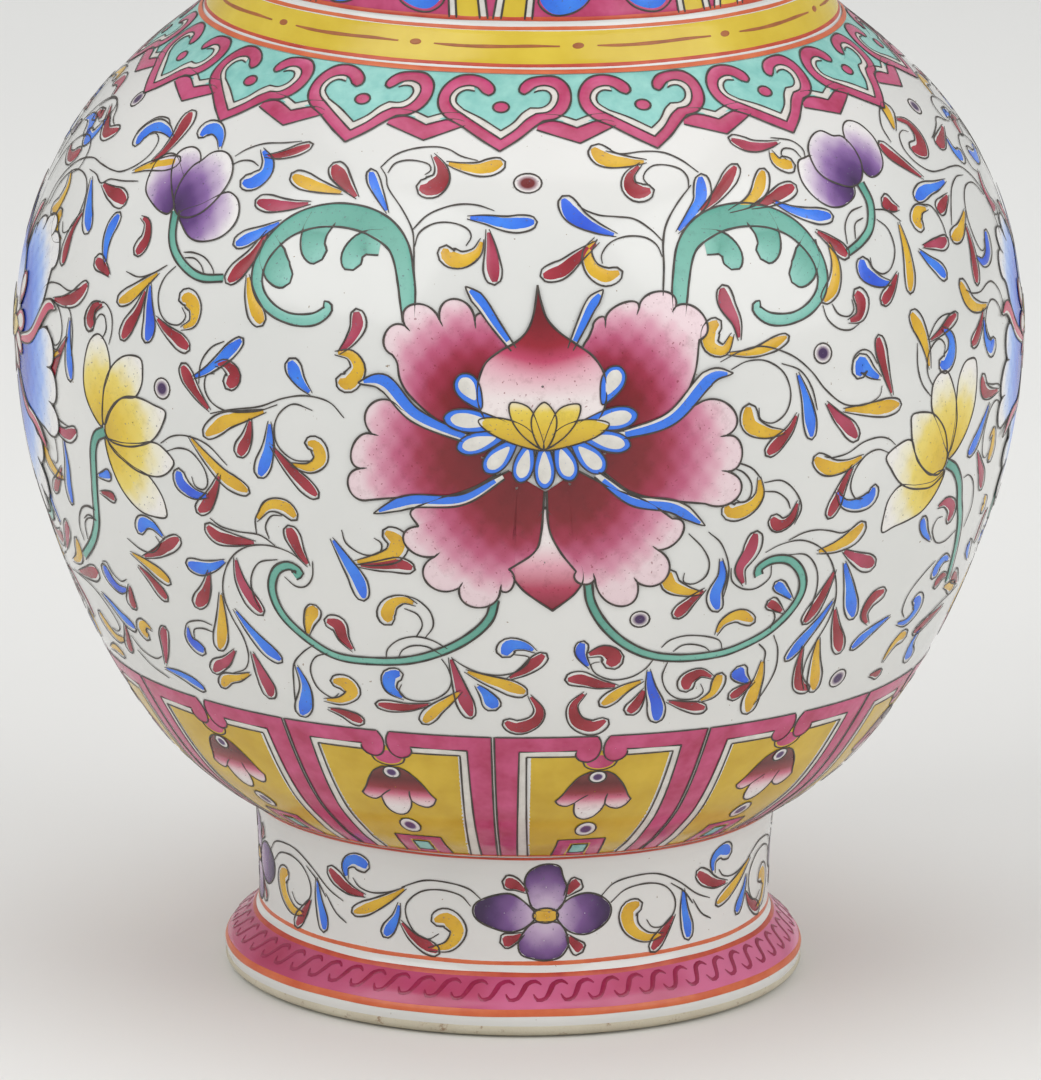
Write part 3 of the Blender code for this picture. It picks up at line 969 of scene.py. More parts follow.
class Scroll:
    """The painter of the leaf scrolls: its layers, and the azimuth it paints at."""

    def __init__(self, ink, reds, yellows, blues, greens, flowers):
        self.ink, self.greens, self.flowers = ink, greens, flowers
        self.by_key = {"r": reds, "p": reds, "y": yellows, "b": blues, "c": blues, "g": greens}
        self.turn = 0.0
        self.white = None

    def line(self, points, width=0.4, taper=(0.6, 0.6)):
        line(self.ink, smooth(points), self.turn, 2, width, taper)

    def leaf(self, key, width, points, core=0.80):
        """A leaf on its spine, from the thin root to the full round tip: two outlines and a brushed core."""
        path = smooth(points)
        t = np.linspace(0, 1, len(path))
        half = width / 2 * (0.16 + 0.84 * np.clip(t / 0.72, 0, 1) ** 0.9) * np.sqrt(np.clip(1 - t ** 9, 0, 1))
        side = across(path) * half[:, None]
        edge = np.concatenate([path + side, (path - side)[::-1]])
        line(self.ink, edge, self.turn, 2, 0.44, (0.5, 0.5))
        if self.white:
            ribbon(self.white, path, half, self.turn, 0, 0.08, 4, bulge=6)
        inner = slice(1, -1)
        brush = core * half[inner] * (1 + 0.08 * np.sin(7 * t[inner] + points[0][0]))
        brush = brush * np.sqrt(1 - t[inner] ** 7)
        base, deep = LEAF_COLOURS[key]
        wash = washes((0.0, deep), (0.45, base), (1.0, deep))
        tint = wash(t[inner])[:, None, :]
        lean = 0.10 * half[inner, None] * across(path)[inner]
        level = 1 if self.white else 0
        ribbon(self.by_key[key], path[inner] + lean, brush, self.turn, level, 0.10, 5, tint, 4)

    def stem(self, points, start, end, outline=0.5):
        path = smooth(points)
        t = np.linspace(0, 1, len(path))
        half = (start + (end - start) * t) / 2
        wash = washes((0.0, (88, 154, 136)), (0.5, (124, 186, 168)), (1.0, (100, 168, 150)))
        ribbon(self.greens, path, half, self.turn, 1, 0.10, 5, wash(t)[:, None, :], 4)
        side = across(path) * half[:, None]
        line(self.ink, path + side, self.turn, 3, outline)
        line(self.ink, path - side, self.turn, 3, outline)

    def dot(self, key, centre, half):
        """A bead: a ringed white eye with a dark middle."""
        dark = {"r": (112, 28, 30), "v": (66, 40, 84)}[key]
        wash = washes((0.0, dark), (0.5, dark), (0.75, (206, 190, 196)), (0.85, WHITE), (1.0, WHITE))
        edge = oval(self.flowers, centre, half, self.turn, 0, tint=lambda u, p: wash(u), points=18)
        line(self.ink, edge, self.turn, 1, 0.42, closed=True)

    def petal(self, outline, root, reach, stops, level=0):
        edge = smooth(outline, closed=True)
        fan(self.flowers, edge.mean(0), np.concatenate([edge, edge[:1]]), self.turn, level, 0.08,
            petal_wash(root, reach, stops))
        line(self.ink, edge, self.turn, level + 0.6, 0.46, closed=True)


PURPLE_PETAL = ((0.0, (58, 34, 76)), (0.3, (92, 56, 118)), (0.55, (140, 104, 162)), (0.8, (202, 184, 206)),
                (1.0, (232, 228, 226)))
YELLOW_PETAL = ((0.0, (196, 160, 36)), (0.36, (222, 190, 56)), (0.62, (230, 208, 104)),
                (0.82, (234, 228, 200)),
                (1.0, (234, 230, 224)))


def acanthus(p, turn, hand):
    """The green curl beside a lotus: a broad sweep that closes on itself, with three lobes inside it."""
    wash = washes((0.0, (126, 188, 172)), (0.35, (82, 156, 138)), (0.7, (112, 178, 162)),
                  (1.0, (134, 194, 180)))

    def blade(points, widths, level, round_end=True):
        path = smooth(points) * (hand, 1)
        t = np.linspace(0, 1, len(path))
        half = np.interp(t, np.linspace(0, 1, len(widths)), widths) / 2
        if round_end:
            half = half * np.sqrt(np.clip(1 - t ** 14, 0, 1))
        ribbon(p.greens, path, half, turn, level, 0.10, 7, wash(t)[:, None, :], 5)
        side = across(path) * half[:, None]
        line(p.ink, np.concatenate([path + side, (path - side)[::-1]]), turn, level + 0.6, 0.5)

    blade([(-17.6, 234.4), (-16.6, 230.4), (-17.4, 226.6), (-20.4, 224.2)], (7.2, 6.6, 6.0, 5.2), 0)
    blade([(-33.6, 229.6), (-29.6, 229.0), (-27.6, 226), (-28.8, 222.4)], (6.4, 6.0, 5.4, 4.8), 0)
    blade([(-5.2, 227.8), (-7.4, 223.4), (-10.2, 219.8), (-13.6, 217.8)], (3.2, 6.8, 7.0, 4.8), 0)
    blade([(-44.8, 211.4), (-42.2, 220.6), (-38.0, 229), (-31, 233.8), (-23, 235.4), (-15.4, 234.2),
           (-9.4, 230.6),
           (-5.6, 225), (-4.4, 219.4), (-6.0, 214.6), (-10.4, 211), (-16, 209.4), (-21.6, 210),
           (-24.6, 212.6),
           (-23.4, 214.4)], (2.8, 3.8, 4.0, 4.4, 5.6, 6.0, 6.0, 5.4, 4.4, 3.4, 2.8, 2.6, 2.6, 3.6, 4.6), 1)


def scroll_middle(p, half_turn):
    """The scrolls around the front lotus."""
    p.turn = half_turn
    leaf, thin = p.leaf, p.line
    # Above the lotus, left of its axis.
    thin([(-24.8, 221), (-25, 230), (-25.6, 233.6), (-28, 238.2), (-31.4, 243.2), (-32, 246.3),
          (-33.4, 248.6)])
    thin([(-33.4, 248.6), (-30, 252.2), (-25.5, 254.4), (-20.5, 255.3), (-17, 254.8), (-14, 253),
          (-10, 251.9)])
    leaf("y", 4.8, [(-17.6, 251), (-14, 250), (-9, 249.6), (-3.6, 251.8)])
    thin([(-31.6, 247.2), (-30, 249.8), (-27.2, 251), (-24, 251), (-21.6, 250.2), (-21.2, 248.6),
          (-22.6, 247.4)])
    leaf("r", 5.8, [(-20.8, 253.2), (-18.8, 249.6), (-18.8, 246.4), (-21.4, 244), (-24.6, 244.2)])
    leaf("b", 3.6, [(-31.4, 236.8), (-33.4, 241), (-35, 244.6), (-35.8, 248)])
    thin([(-25.4, 233), (-22, 236.8), (-18, 239), (-14, 240.1), (-10, 240), (-6, 238.7)])
    leaf("b", 4.6, [(-12.4, 236.8), (-8, 236.4), (-2.4, 235.4), (4, 236)])
    thin([(-24.8, 229), (-23.6, 232.6), (-20, 235), (-15.8, 235.3), (-12.4, 234), (-11.4, 232),
          (-12.6, 229.8)])
    leaf("y", 5.0, [(-8.8, 231.6), (-10.2, 228.2), (-13.6, 226.4), (-17, 227.4), (-17.2, 229.8)])
    leaf("p", 4.6, [(-7.6, 234), (-6.8, 229.4), (-6.4, 225), (-5.8, 220.6)])
    p.dot("r", (1.7, 246), (3.3, 2.6))
    leaf("p", 4.2, [(-43, 202.6), (-40, 206), (-38.2, 209.6), (-38.8, 213.4)])
    leaf("y", 5.0, [(-44, 202.6), (-40, 202.4), (-38.2, 199.4), (-40.6, 196), (-43.6, 196.6)])
    # Above the lotus, right of its axis.
    leaf("y", 5.4, [(30, 251.2), (25, 251.4), (20, 252.6), (16.6, 256.2)])
    thin([(20, 254.6), (24, 253.6), (29, 254), (34, 253.4), (38.5, 251), (43, 247.2)])
    thin([(40.4, 243), (40.2, 246), (38.4, 248.4), (35, 249.8), (31.6, 249.9), (29.6, 248.2), (29.2, 246.4),
          (30.4, 244.8)])
    leaf("r", 5.0, [(28.6, 250.6), (25.8, 247.6), (25.8, 244.6), (28.4, 242.8), (31.8, 243.4)])
    leaf("b", 4.8, [(37.4, 232.2), (41, 236.4), (43.8, 240.6), (43.6, 246.8)])
    thin([(34, 217.4), (34.2, 224), (34, 230), (34.8, 234.6), (37.4, 239.4), (41, 244)], 0.5)
    leaf("r", 4.8, [(43, 236.8), (47, 240), (50.2, 243.6), (53.4, 248.4)])
    leaf("c", 5.0, [(22.8, 232.4), (17.8, 234.4), (12.8, 237.6), (9.8, 242.6)])
    thin([(13.4, 240.4), (15, 239), (18.6, 237.5), (22.6, 237), (27, 236.2), (31, 233.4), (33.9, 230.4)])
    thin([(33.8, 226.6), (32.4, 229.6), (29.4, 231.6), (25, 232), (21.2, 230.6), (19.2, 227.8),
          (19.4, 225.6)])
    leaf("y", 4.6, [(17.8, 231.8), (15.8, 228.4), (17, 224.4), (20.4, 222.4), (24.2, 223.6)])
    leaf("r", 4.8, [(18.4, 231), (14, 227.8), (9.8, 224.4), (4.8, 222.8)])
    leaf("p", 4.4, [(53.4, 205.6), (52.6, 210), (50, 214.6), (48.8, 219)])
    leaf("y", 5.0, [(51.6, 207.4), (49.4, 203.8), (46.2, 205), (46, 208.6), (48.6, 210.6)])
    # Below the lotus, left of its axis.
    leaf("b", 4.6, [(-44.6, 157.6), (-41, 152), (-38, 147), (-36.4, 141.6)])
    leaf("r", 4.2, [(-38, 151), (-33, 151.4), (-28, 152), (-24, 151)])
    leaf("y", 5.4, [(-38.8, 151.8), (-34, 152.8), (-29.2, 154.8), (-28.2, 158.4), (-31.8, 160.8)])
    thin([(-42, 160), (-41, 156.8), (-38, 154.6), (-35, 154), (-32.4, 155.2), (-32.2, 157.4), (-34, 158.6)])
    leaf("y", 4.8, [(-23.6, 141.6), (-26.8, 142.8), (-30, 141.2), (-31, 138), (-29.6, 135.6)])
    thin([(-21.6, 132.4), (-19.6, 136), (-20.4, 140), (-23.4, 143), (-26.4, 144)])
    thin([(-23.6, 132.8), (-22.2, 136), (-23.4, 139), (-26.6, 140.4)])
    thin([(-31, 125.8), (-30.6, 128.6), (-28, 131.4), (-24, 132.7), (-20, 132), (-16.2, 129.8)])
    thin([(-28, 126.2), (-27, 128.6), (-24.4, 130.1), (-21, 130), (-17.6, 128)])
    leaf("r", 4.6, [(-39, 127), (-41.6, 130.6), (-43, 134.2), (-46.6, 135.2)])
    leaf("y", 4.8, [(-47, 111.4), (-42.4, 111.8), (-39.4, 114.6), (-41.4, 117.4), (-45.2, 117.6)])
    leaf("r", 3.8, [(-46, 108.8), (-41.6, 107.8), (-36.6, 105.2)])
    leaf("b", 4.8, [(-26.4, 114.2), (-29.8, 117), (-29.8, 120.6), (-26.8, 121.6)])
    thin([(-27.2, 118.6), (-27.8, 116.4), (-26.4, 114.6), (-23.4, 113.8), (-19.8, 114.4), (-16.4, 117),
          (-15.2, 120.4), (-16, 124), (-17.6, 126.8)])
    leaf("r", 3.6, [(-20, 113.2), (-25, 111.8), (-29, 111.6), (-33.8, 112)])
    leaf("y", 4.4, [(-12.8, 117.6), (-16, 114.4), (-19.4, 111), (-22.2, 106.8)])
    leaf("p", 4.4, [(-15.6, 127.4), (-14, 121.4), (-12.4, 115.6), (-10.4, 109.2)])
    thin([(-15.2, 127.2), (-12, 124.8), (-8, 123), (-3.6, 122.6), (0, 123.6), (2.6, 126), (3, 128),
          (-0.4, 128.6)])
    leaf("b", 4.8, [(4.8, 129.4), (1.8, 131.2), (-1.6, 131.2), (-3.2, 127.8)])
    leaf("r", 4.0, [(-2, 121.4), (1.6, 123.6), (4.4, 126), (7.2, 129)])
    leaf("y", 4.6, [(-12, 123.6), (-7.4, 121.4), (-2.4, 119.4), (2.8, 117)])
    leaf("b", 4.6, [(-9.4, 119.6), (-7, 116.6), (-4.6, 112)])
    leaf("r", 4.6, [(3.2, 116.8), (5.6, 112), (4.2, 108.4), (0.4, 106.8), (-2.8, 109)])
    # Below the lotus, right of its axis.
    p.dot("v", (29.4, 137.8), (2.4, 2.2))
    leaf("b", 4.4, [(49.4, 152.8), (49.8, 148), (48, 143), (49, 138.2)])
    thin([(41, 160), (44.6, 156), (46.4, 152), (45.6, 148.4), (42.6, 146.6), (40, 147.4), (40.2, 149.8)])
    thin([(46, 160), (49.4, 156.6), (51.4, 151), (51.2, 146), (50.2, 142)])
    leaf("y", 4.8, [(44.8, 143.8), (40.6, 144.8), (36.8, 147), (36.4, 151)])
    leaf("r", 3.8, [(45.6, 145), (41.6, 141.6), (37.6, 137.6)])
    leaf("y", 4.2, [(48.6, 131.6), (50.6, 135), (54.6, 136.4), (59, 134)])
    thin([(34.8, 129.4), (37, 131.4), (41, 132.3), (46, 131.6), (49.6, 130), (50.4, 127.4)])
    thin([(37.8, 128), (40, 129.6), (43, 129.6), (46, 128.4), (47.2, 127)])
    leaf("c", 3.4, [(17.6, 124.4), (15.4, 128.6), (16, 132.4)])
    leaf("r", 5.6, [(16.6, 128), (20.6, 129.2), (23, 127.2), (21.4, 124.4)])
    thin([(32.8, 126), (31, 123.6), (27.6, 121.4), (23, 120.8), (19, 122.8), (17.8, 125.6), (19.8, 126.2)])
    leaf("r", 4.6, [(24.4, 118.8), (19.6, 119.8), (15.4, 121.4), (11.6, 121.2)])
    leaf("y", 4.0, [(30.6, 120.2), (26.4, 118.2), (23, 115.6), (20, 113)])
    leaf("r", 4.0, [(31, 117.8), (29, 113.4), (26.6, 110)])
    leaf("c", 4.8, [(31.8, 123.4), (32.4, 118), (33.8, 112.4), (34, 106.8)])
    thin([(36.6, 125.4), (35.2, 121), (36.4, 116.6), (39.4, 113.8), (43.6, 113.4), (45.8, 115.2),
          (45, 117.8)])
    leaf("r", 4.8, [(48.6, 119), (45, 121), (41.6, 119.2), (41.4, 115.6)])
    leaf("y", 3.8, [(44.6, 112.2), (48.6, 114.6), (50.6, 120.4)])
    leaf("r", 4.0, [(36.4, 113.4), (41.6, 111.2), (47, 109.6)])
    leaf("r", 5.0, [(16.6, 117.4), (13.6, 113.2), (14.6, 108.4), (18.4, 106.4), (22.2, 108.8)])


def scroll_right(p, half_turn):
    """The scrolls right of the lotus, about forty degrees round."""
    p.turn = half_turn + 40
    leaf, thin = p.leaf, p.line
    leaf("y", 4.2, [(-24.6, 236.4), (-18, 238.4), (-14, 241.4), (-10.2, 246.4)])
    leaf("r", 4.6, [(-18.6, 236.8), (-13, 238), (-8.6, 239.4), (-3.6, 241)])
    leaf("b", 4.4, [(-12, 237.8), (-7.4, 234.8), (-2, 232.8), (3.8, 231.8)])
    leaf("r", 4.0, [(-3, 229.2), (0.8, 225.8), (4.8, 221.4)])
    leaf("y", 4.2, [(-0.2, 226), (0.2, 220.4), (-1.8, 215.6), (-6.2, 212)])
    thin([(-6.2, 211.4), (-5.4, 208), (-2.6, 205.4), (1, 204.6), (4, 205.6)])
    thin([(-3.4, 211.4), (-2, 208.8), (1, 207.8), (3, 209.2), (2.8, 211.6)])
    leaf("r", 4.8, [(0.6, 206.6), (4.6, 207.4), (6, 210.8), (4.2, 213.8)])
    leaf("p", 4.4, [(-2, 253), (-6, 252.6), (-10.6, 253), (-15.2, 256)])
    thin([(-4, 254.4), (-2, 253.9), (1.6, 252.6), (3.4, 250), (2.8, 247.4)])
    thin([(1.6, 247.8), (0.6, 250.2), (-2, 250.9), (-3.6, 249.4), (-2.8, 247.8)])
    leaf("y", 4.8, [(-6, 251), (-5.6, 247.4), (-1.2, 246)])
    p.petal([(20, 240), (18.4, 247), (19.6, 252.6), (23, 254.8), (27, 253), (29.4, 248), (28, 242),
             (24, 239.4)],
            (18, 239), 15, PURPLE_PETAL)
    p.petal([(0, 246.6), (-1.4, 242), (0.2, 237.4), (4, 234.2), (9, 234), (13.6, 236.6), (13, 242),
             (6, 247.4),
             (2.6, 247.6)], (13, 237), 15, PURPLE_PETAL)
    p.petal([(4.2, 245), (5, 249.6), (8.2, 252.8), (12, 253.8), (15, 251.8), (18, 251), (19.8, 247),
             (19.6, 242.6),
             (17, 239), (13, 238), (8.6, 239.6), (5.4, 242)], (15, 239), 16, PURPLE_PETAL, 2)
    p.stem([(16.4, 238.4), (17, 233), (14.4, 227.6), (10, 224.6), (4.8, 222.6)], 2.6, 1.7)
    thin([(5.4, 224.6), (6.4, 229), (9.6, 232), (14, 232.8)])
    thin([(8.4, 225.4), (9.8, 229), (13, 230)])
    thin([(17.4, 229), (20.4, 226), (20.8, 221), (18, 217), (14.4, 216), (11.6, 218), (11.6, 220.4)])
    leaf("c", 5.2, [(17, 213.4), (12.6, 214.6), (9, 217.4), (9.2, 221)])
    leaf("r", 3.8, [(20, 215.6), (16.4, 212), (12.2, 209)])
    leaf("y", 4.2, [(25, 227), (25, 220), (24.2, 214), (23, 209.8)])
    leaf("r", 4.6, [(27, 230), (24.4, 231.2), (21.6, 233.6)])
    thin([(17.6, 231.4), (22, 230.4), (26, 227)])
    p.dot("v", (-8, 200.2), (2.6, 2.4))
    leaf("b", 5.4, [(9.6, 191.8), (6.4, 193.8), (3.6, 196.2), (1.8, 192.8)])
    thin([(8.6, 195.4), (6.8, 198.4), (4, 199.4), (1.2, 198), (0.4, 194.6)])
    leaf("r", 4.0, [(13.4, 187), (11.8, 191.6), (10.6, 196.6), (9.8, 202.2)])
    thin([(9.8, 190), (9, 187.8), (6, 186.6), (2, 186.4), (-3, 187.6), (-8, 191.6), (-12, 196.6),
          (-17, 200.8),
          (-24, 203.6), (-30, 203.2), (-36, 201)])
    leaf("y", 4.6, [(-3, 186), (3, 185.2), (9, 184.6), (16.6, 184.4)])
    leaf("p", 4.4, [(-8, 188.6), (-4.6, 184.6), (-1, 181.4), (2.2, 178)])
    leaf("b", 4.0, [(-15.8, 196.6), (-14, 191), (-13, 186), (-12, 180)])
    thin([(-20, 199.2), (-15, 197), (-12, 192.6), (-10.6, 187)])
    thin([(-33.4, 199), (-29, 200.6), (-24, 200.2), (-19.6, 197), (-18, 192), (-19.4, 187.6), (-23, 185.4),
          (-26.4, 186.6), (-26.8, 189.4)])
    leaf("y", 5.2, [(-19.6, 182.8), (-25, 183.4), (-29, 185.8), (-29.4, 190.6)])
    leaf("r", 4.0, [(-16.2, 187), (-18.6, 183), (-22, 180), (-24.8, 177.6)])
    leaf("y", 3.4, [(-34, 202.8), (-28, 202.4), (-23, 203.4), (-17, 205.4)])
    leaf("y", 4.8, [(-26.2, 172.6), (-25.8, 168), (-28.6, 165), (-33, 164.6), (-34.4, 167)])
    thin([(-34.6, 175.8), (-30.6, 174.2), (-28.2, 171.2), (-28.2, 168), (-30, 166.6), (-32, 167.6)])
    thin([(-33, 177), (-28.4, 175), (-25.6, 172)])
    leaf("r", 4.0, [(-14.6, 165.4), (-16.2, 161), (-19.4, 159.8), (-22, 162.4)])
    thin([(-24.8, 171), (-20, 171), (-16, 168), (-13.6, 163.6), (-15, 159.4)])
    thin([(-24.6, 168.8), (-21, 168.2), (-18, 166), (-16.8, 163.6)])
    leaf("p", 5.0, [(-26, 144.8), (-28, 149.4), (-26, 153.8), (-25.2, 159)])
    thin([(-30.6, 150), (-29.6, 146.4), (-26.4, 144), (-22.6, 143.6), (-19.4, 146), (-19.6, 149.4)])
    thin([(-22, 153), (-18, 154.6), (-12.6, 155), (-7.4, 153), (-3, 149.4), (0.4, 144), (2.6, 137.4),
          (2.2, 131),
          (0, 125), (-1.2, 120), (-0.6, 115), (1.4, 111)])
    thin([(-15.4, 151.6), (-10, 150.8), (-6, 146.6), (-4.4, 141), (-5, 135), (-6, 131.6)])
    thin([(-16, 155.4), (-12, 156.8), (-8, 157), (-4, 156.2), (0, 155), (3, 155.6)])
    leaf("y", 5.0, [(-7, 151), (-1, 151.6), (4, 153.4), (7.4, 156.6)])
    leaf("p", 5.0, [(1.4, 150.2), (5.6, 147.6), (9.6, 145.6), (14, 143.8)])
    leaf("b", 4.8, [(2.6, 147), (5.6, 141), (8, 135.6), (11, 129.6)])
    leaf("r", 4.6, [(0.2, 145.4), (-1.4, 140.4), (-3.4, 135.6), (-6, 131.2)])
    leaf("b", 4.0, [(2.2, 137), (-0.8, 131.6), (-4.6, 126.4), (-8, 121)])
    leaf("r", 4.4, [(3.2, 134.4), (5.4, 128.6), (7.6, 124.4), (10, 120)])
    leaf("r", 3.6, [(-3.8, 125), (-3, 118), (-0.8, 112.8), (3.4, 110.2)])
    leaf("y", 4.8, [(0.6, 126.4), (1.8, 120), (3.6, 114.6), (5.4, 109.4)])
    leaf("y", 4.8, [(4.4, 173.8), (-1.4, 172.2), (-6.6, 172.6), (-11.2, 175.8)])
    thin([(-8, 175.4), (-6, 174.8), (-1, 175.2), (4, 177.2), (9, 177.6), (12.6, 176.6), (15, 174.8)])
    leaf("r", 4.2, [(1, 172), (-1.6, 167.6), (-3.4, 163.4), (-5.2, 159.4)])
    thin([(12.8, 173.2), (9, 174.6), (5, 173.8), (1.8, 170.6), (0.8, 166.6), (2.8, 163.4), (5.2, 163)])
    leaf("b", 4.4, [(-3.6, 166.4), (-0.6, 162.6), (4, 161.6), (8.2, 162.8), (9, 166)])
    p.dot("v", (12.6, 112), (2.7, 2.6))
    leaf("r", 4.6, [(17.4, 126.8), (14.8, 130.2), (16.4, 134), (21, 135.6)])
    leaf("b", 3.8, [(26, 127.4), (20.6, 125), (16.6, 122.8), (13.4, 120.2)])
    leaf("c", 4.6, [(-16.6, 116.2), (-19.6, 118.4), (-21.8, 121.6)])
    leaf("r", 4.0, [(-15.2, 116.6), (-18.2, 114.4), (-21.2, 112)])
    leaf("y", 5.0, [(-15, 122.8), (-14.4, 117.6), (-14.6, 112), (-13.8, 106.2)])
    thin([(-14, 129.6), (-11.4, 125), (-10.2, 119), (-11.4, 113), (-13, 109)])
    thin([(-17.6, 127.6), (-15, 125), (-14.4, 121.6)])
    leaf("b", 3.4, [(-11.2, 139), (-14, 141.6), (-17.6, 144.6)])
    leaf("r", 3.6, [(-12.8, 135.6), (-15.4, 137.6), (-18.4, 139.6)])
    thin([(-15.6, 131.6), (-15, 134.6), (-16.4, 137)])
    stem = [(16.8, 148.2), (17.6, 143), (20.6, 137), (25.6, 131.4), (32, 127.6), (40, 126)]
    p.stem([(x - radius_of(s) * math.radians(40), s) for x, s in stem]
           + [(-28, 126.2), (-22, 127.8), (-16, 130.8), (-11.2, 135.6), (-9, 141), (-10.4, 146), (-14.6, 150),
              (-19.6, 150.8), (-23, 149), (-22.6, 147)], 1.9, 2.1)


def scroll_left(p, half_turn):
    """The scrolls left of the lotus, about forty degrees round."""
    p.turn = half_turn - 40
    leaf, thin = p.leaf, p.line
    p.petal([(-28, 238), (-27, 233), (-22, 230), (-18, 228.8), (-15.2, 229.6), (-14, 236), (-17, 240),
             (-22, 243.4),
             (-26.6, 242)], (-13.4, 231.6), 16, PURPLE_PETAL)
    p.petal([(-21.4, 243), (-20, 245.3), (-17, 246.4), (-14, 245.5), (-12.2, 242.6), (-12, 236), (-14, 231.4),
             (-17, 234), (-20.4, 239)], (-13.4, 231.6), 15, PURPLE_PETAL, 1)
    p.petal([(-0.6, 236.8), (2, 236.9), (4.6, 235.2), (6, 232), (5.4, 228.8), (2.6, 225.8), (-2, 224.2),
             (-6, 224.4), (-9.5, 226.6), (-12, 229.8), (-6, 233)], (-12, 230.4), 17, PURPLE_PETAL, 2)
    p.petal([(-15.5, 237.6), (-14, 241.5), (-12, 243.5), (-10, 246), (-7, 247), (-4, 246.2), (-1.5, 243.6),
             (-0.6, 239.8), (-2, 235), (-5, 231), (-9, 229), (-13, 229.5), (-15.5, 232.8)], (-13, 231.4), 16,
            PURPLE_PETAL, 3)
    p.stem([(-13.6, 230), (-12, 224), (-9, 220), (-4, 217), (1, 215.8), (7, 216.6)], 2.4, 1.7)
    leaf("b", 4.8, [(-8.2, 247.4), (-10.2, 250.8), (-13.2, 252.6), (-16.2, 251.8), (-17, 249)])
    thin([(-6.8, 220.8), (-3.8, 221.2), (0, 220.6), (3, 218.6), (4.2, 216.8)])
    thin([(-6, 219.6), (-3, 219.9), (-0.4, 218.6), (1, 216.8)])
    thin([(-2.6, 246.4), (0, 249), (4, 251.2), (9, 252.2), (13.5, 253.4)])
    leaf("r", 3.6, [(5.8, 247.8), (10, 248.8), (13.4, 250.6), (16.8, 253)])
    thin([(-2, 244.2), (0, 245.6), (3, 246), (5.6, 245)])
    leaf("b", 5.2, [(4, 249.6), (7.4, 246.6), (8.2, 243.4), (5.8, 240.8), (2.4, 240.6)])
    leaf("y", 4.6, [(31, 241), (25, 241.8), (20, 242.8), (15.4, 244.4)])
    leaf("r", 4.4, [(35, 240), (31, 243), (27.4, 246), (24.6, 248.6)])
    leaf("p", 4.6, [(24, 237.6), (19, 236.4), (14, 236), (9, 236.4)])
    leaf("b", 4.4, [(18.4, 232.2), (14.6, 229.4), (11, 227.2), (7.2, 224.8)])
    leaf("r", 4.8, [(15.6, 229.4), (13.6, 223.6), (11, 219.6), (8, 215.6)])
    leaf("y", 4.6, [(13.6, 218.4), (15.6, 213.6), (18, 209.8), (20.6, 207)])
    leaf("r", 4.4, [(-25, 226.4), (-22, 225.4), (-21, 221.6), (-23.6, 217.4)])
    leaf("y", 4.2, [(-13.2, 215), (-17.4, 211.6), (-22, 208), (-26.6, 205.4)])
    leaf("r", 4.4, [(-16.6, 210.4), (-18.4, 205), (-21, 200.8), (-23.4, 197)])
    leaf("c", 4.6, [(-15.6, 212), (-14.8, 207), (-13.6, 202), (-14.2, 197.8)])
    leaf("r", 4.2, [(-11.8, 204.4), (-7.6, 202), (-3, 200), (0.6, 198.4)])
    leaf("y", 4.8, [(-3, 203), (0.4, 205), (0.4, 208.6), (-2.6, 210.6), (-5, 209.4)])
    thin([(-8.2, 217.2), (-11, 214), (-12, 210), (-10.6, 206), (-7.6, 203.8), (-3.8, 203.8), (-2, 206),
          (-3.6, 208)])
    thin([(-25, 213), (-20, 212.6), (-15.4, 214.2), (-11, 217)])
    p.dot("v", (-7.4, 188), (2.6, 2.5))
    leaf("y", 4.8, [(23.8, 187.2), (18, 185.2), (12, 183), (5.8, 178.6)])
    leaf("r", 4.2, [(19.6, 184.8), (18.4, 180), (15.6, 175)])
    leaf("b", 4.6, [(24.8, 184.8), (24.4, 179), (23, 174.6), (21.2, 170.6)])
    leaf("r", 4.2, [(8, 185), (4.4, 188), (1, 191.6), (-1.6, 195)])
    thin([(26.8, 189), (22, 187), (17, 186), (12, 185.8), (8, 187.4), (6, 190.4), (6.4, 193.4), (8.8, 194)])
    leaf("r", 4.6, [(8.6, 196.2), (11.6, 196.6), (14.2, 194.4), (12.2, 191)])
    leaf("b", 3.8, [(2, 192), (6.6, 194.6), (11, 198.4), (15.8, 203.4)])
    thin([(4.2, 191), (4.4, 196), (7, 200), (10.6, 202)])
    leaf("b", 4.4, [(35.4, 192.4), (32, 195.4), (28.8, 200.2)])
    thin([(8, 184.4), (14, 186.2), (22, 188), (28, 190.6), (34, 191.9), (40, 191), (44, 187.6)])
    thin([(36, 188.6), (31, 189.6), (27.4, 187), (26, 183), (27, 179), (31, 176.2), (36, 176.4)])
    leaf("r", 4.2, [(25, 179), (29, 174.6), (33, 170.8), (37, 167.4)])
    leaf("y", 4.4, [(30, 175), (35, 174.6), (38, 177), (37, 180.4), (34, 180.6)])
    leaf("y", 4.4, [(1.4, 177.8), (7, 172.8), (12, 169), (18.6, 166.4)])
    thin([(-8, 174.6), (-4, 177), (1, 177.8), (7, 176.6), (12.6, 172.4)])
    thin([(-6, 173), (-2, 174.4), (2, 174), (5.6, 170.6), (6.4, 167), (4.8, 165.2), (2.4, 165.8), (1.6, 168)])
    leaf("c", 4.8, [(6.4, 163.8), (1.6, 163.8), (-2, 166), (-2.4, 169.4)])
    leaf("r", 4.2, [(10.2, 170), (8, 165.4), (5.4, 161.8), (2, 159)])
    leaf("y", 4.2, [(19.6, 159.6), (23.4, 163.8), (27.8, 164), (30.8, 161.2)])
    thin([(19.2, 156.2), (19.4, 160), (21, 162.6)])
    thin([(22.6, 155.4), (22, 158.4), (24, 161.4), (27, 161.8)])
    leaf("r", 4.6, [(32.2, 149.4), (30.2, 153.4), (28.2, 159.6)])
    thin([(33.4, 151), (32.6, 146.8), (30.4, 144), (27.6, 143.6), (25, 145.8)])
    leaf("r", 4.8, [(18.8, 153.8), (12.6, 153.6), (7.4, 154), (4.2, 156.4)])
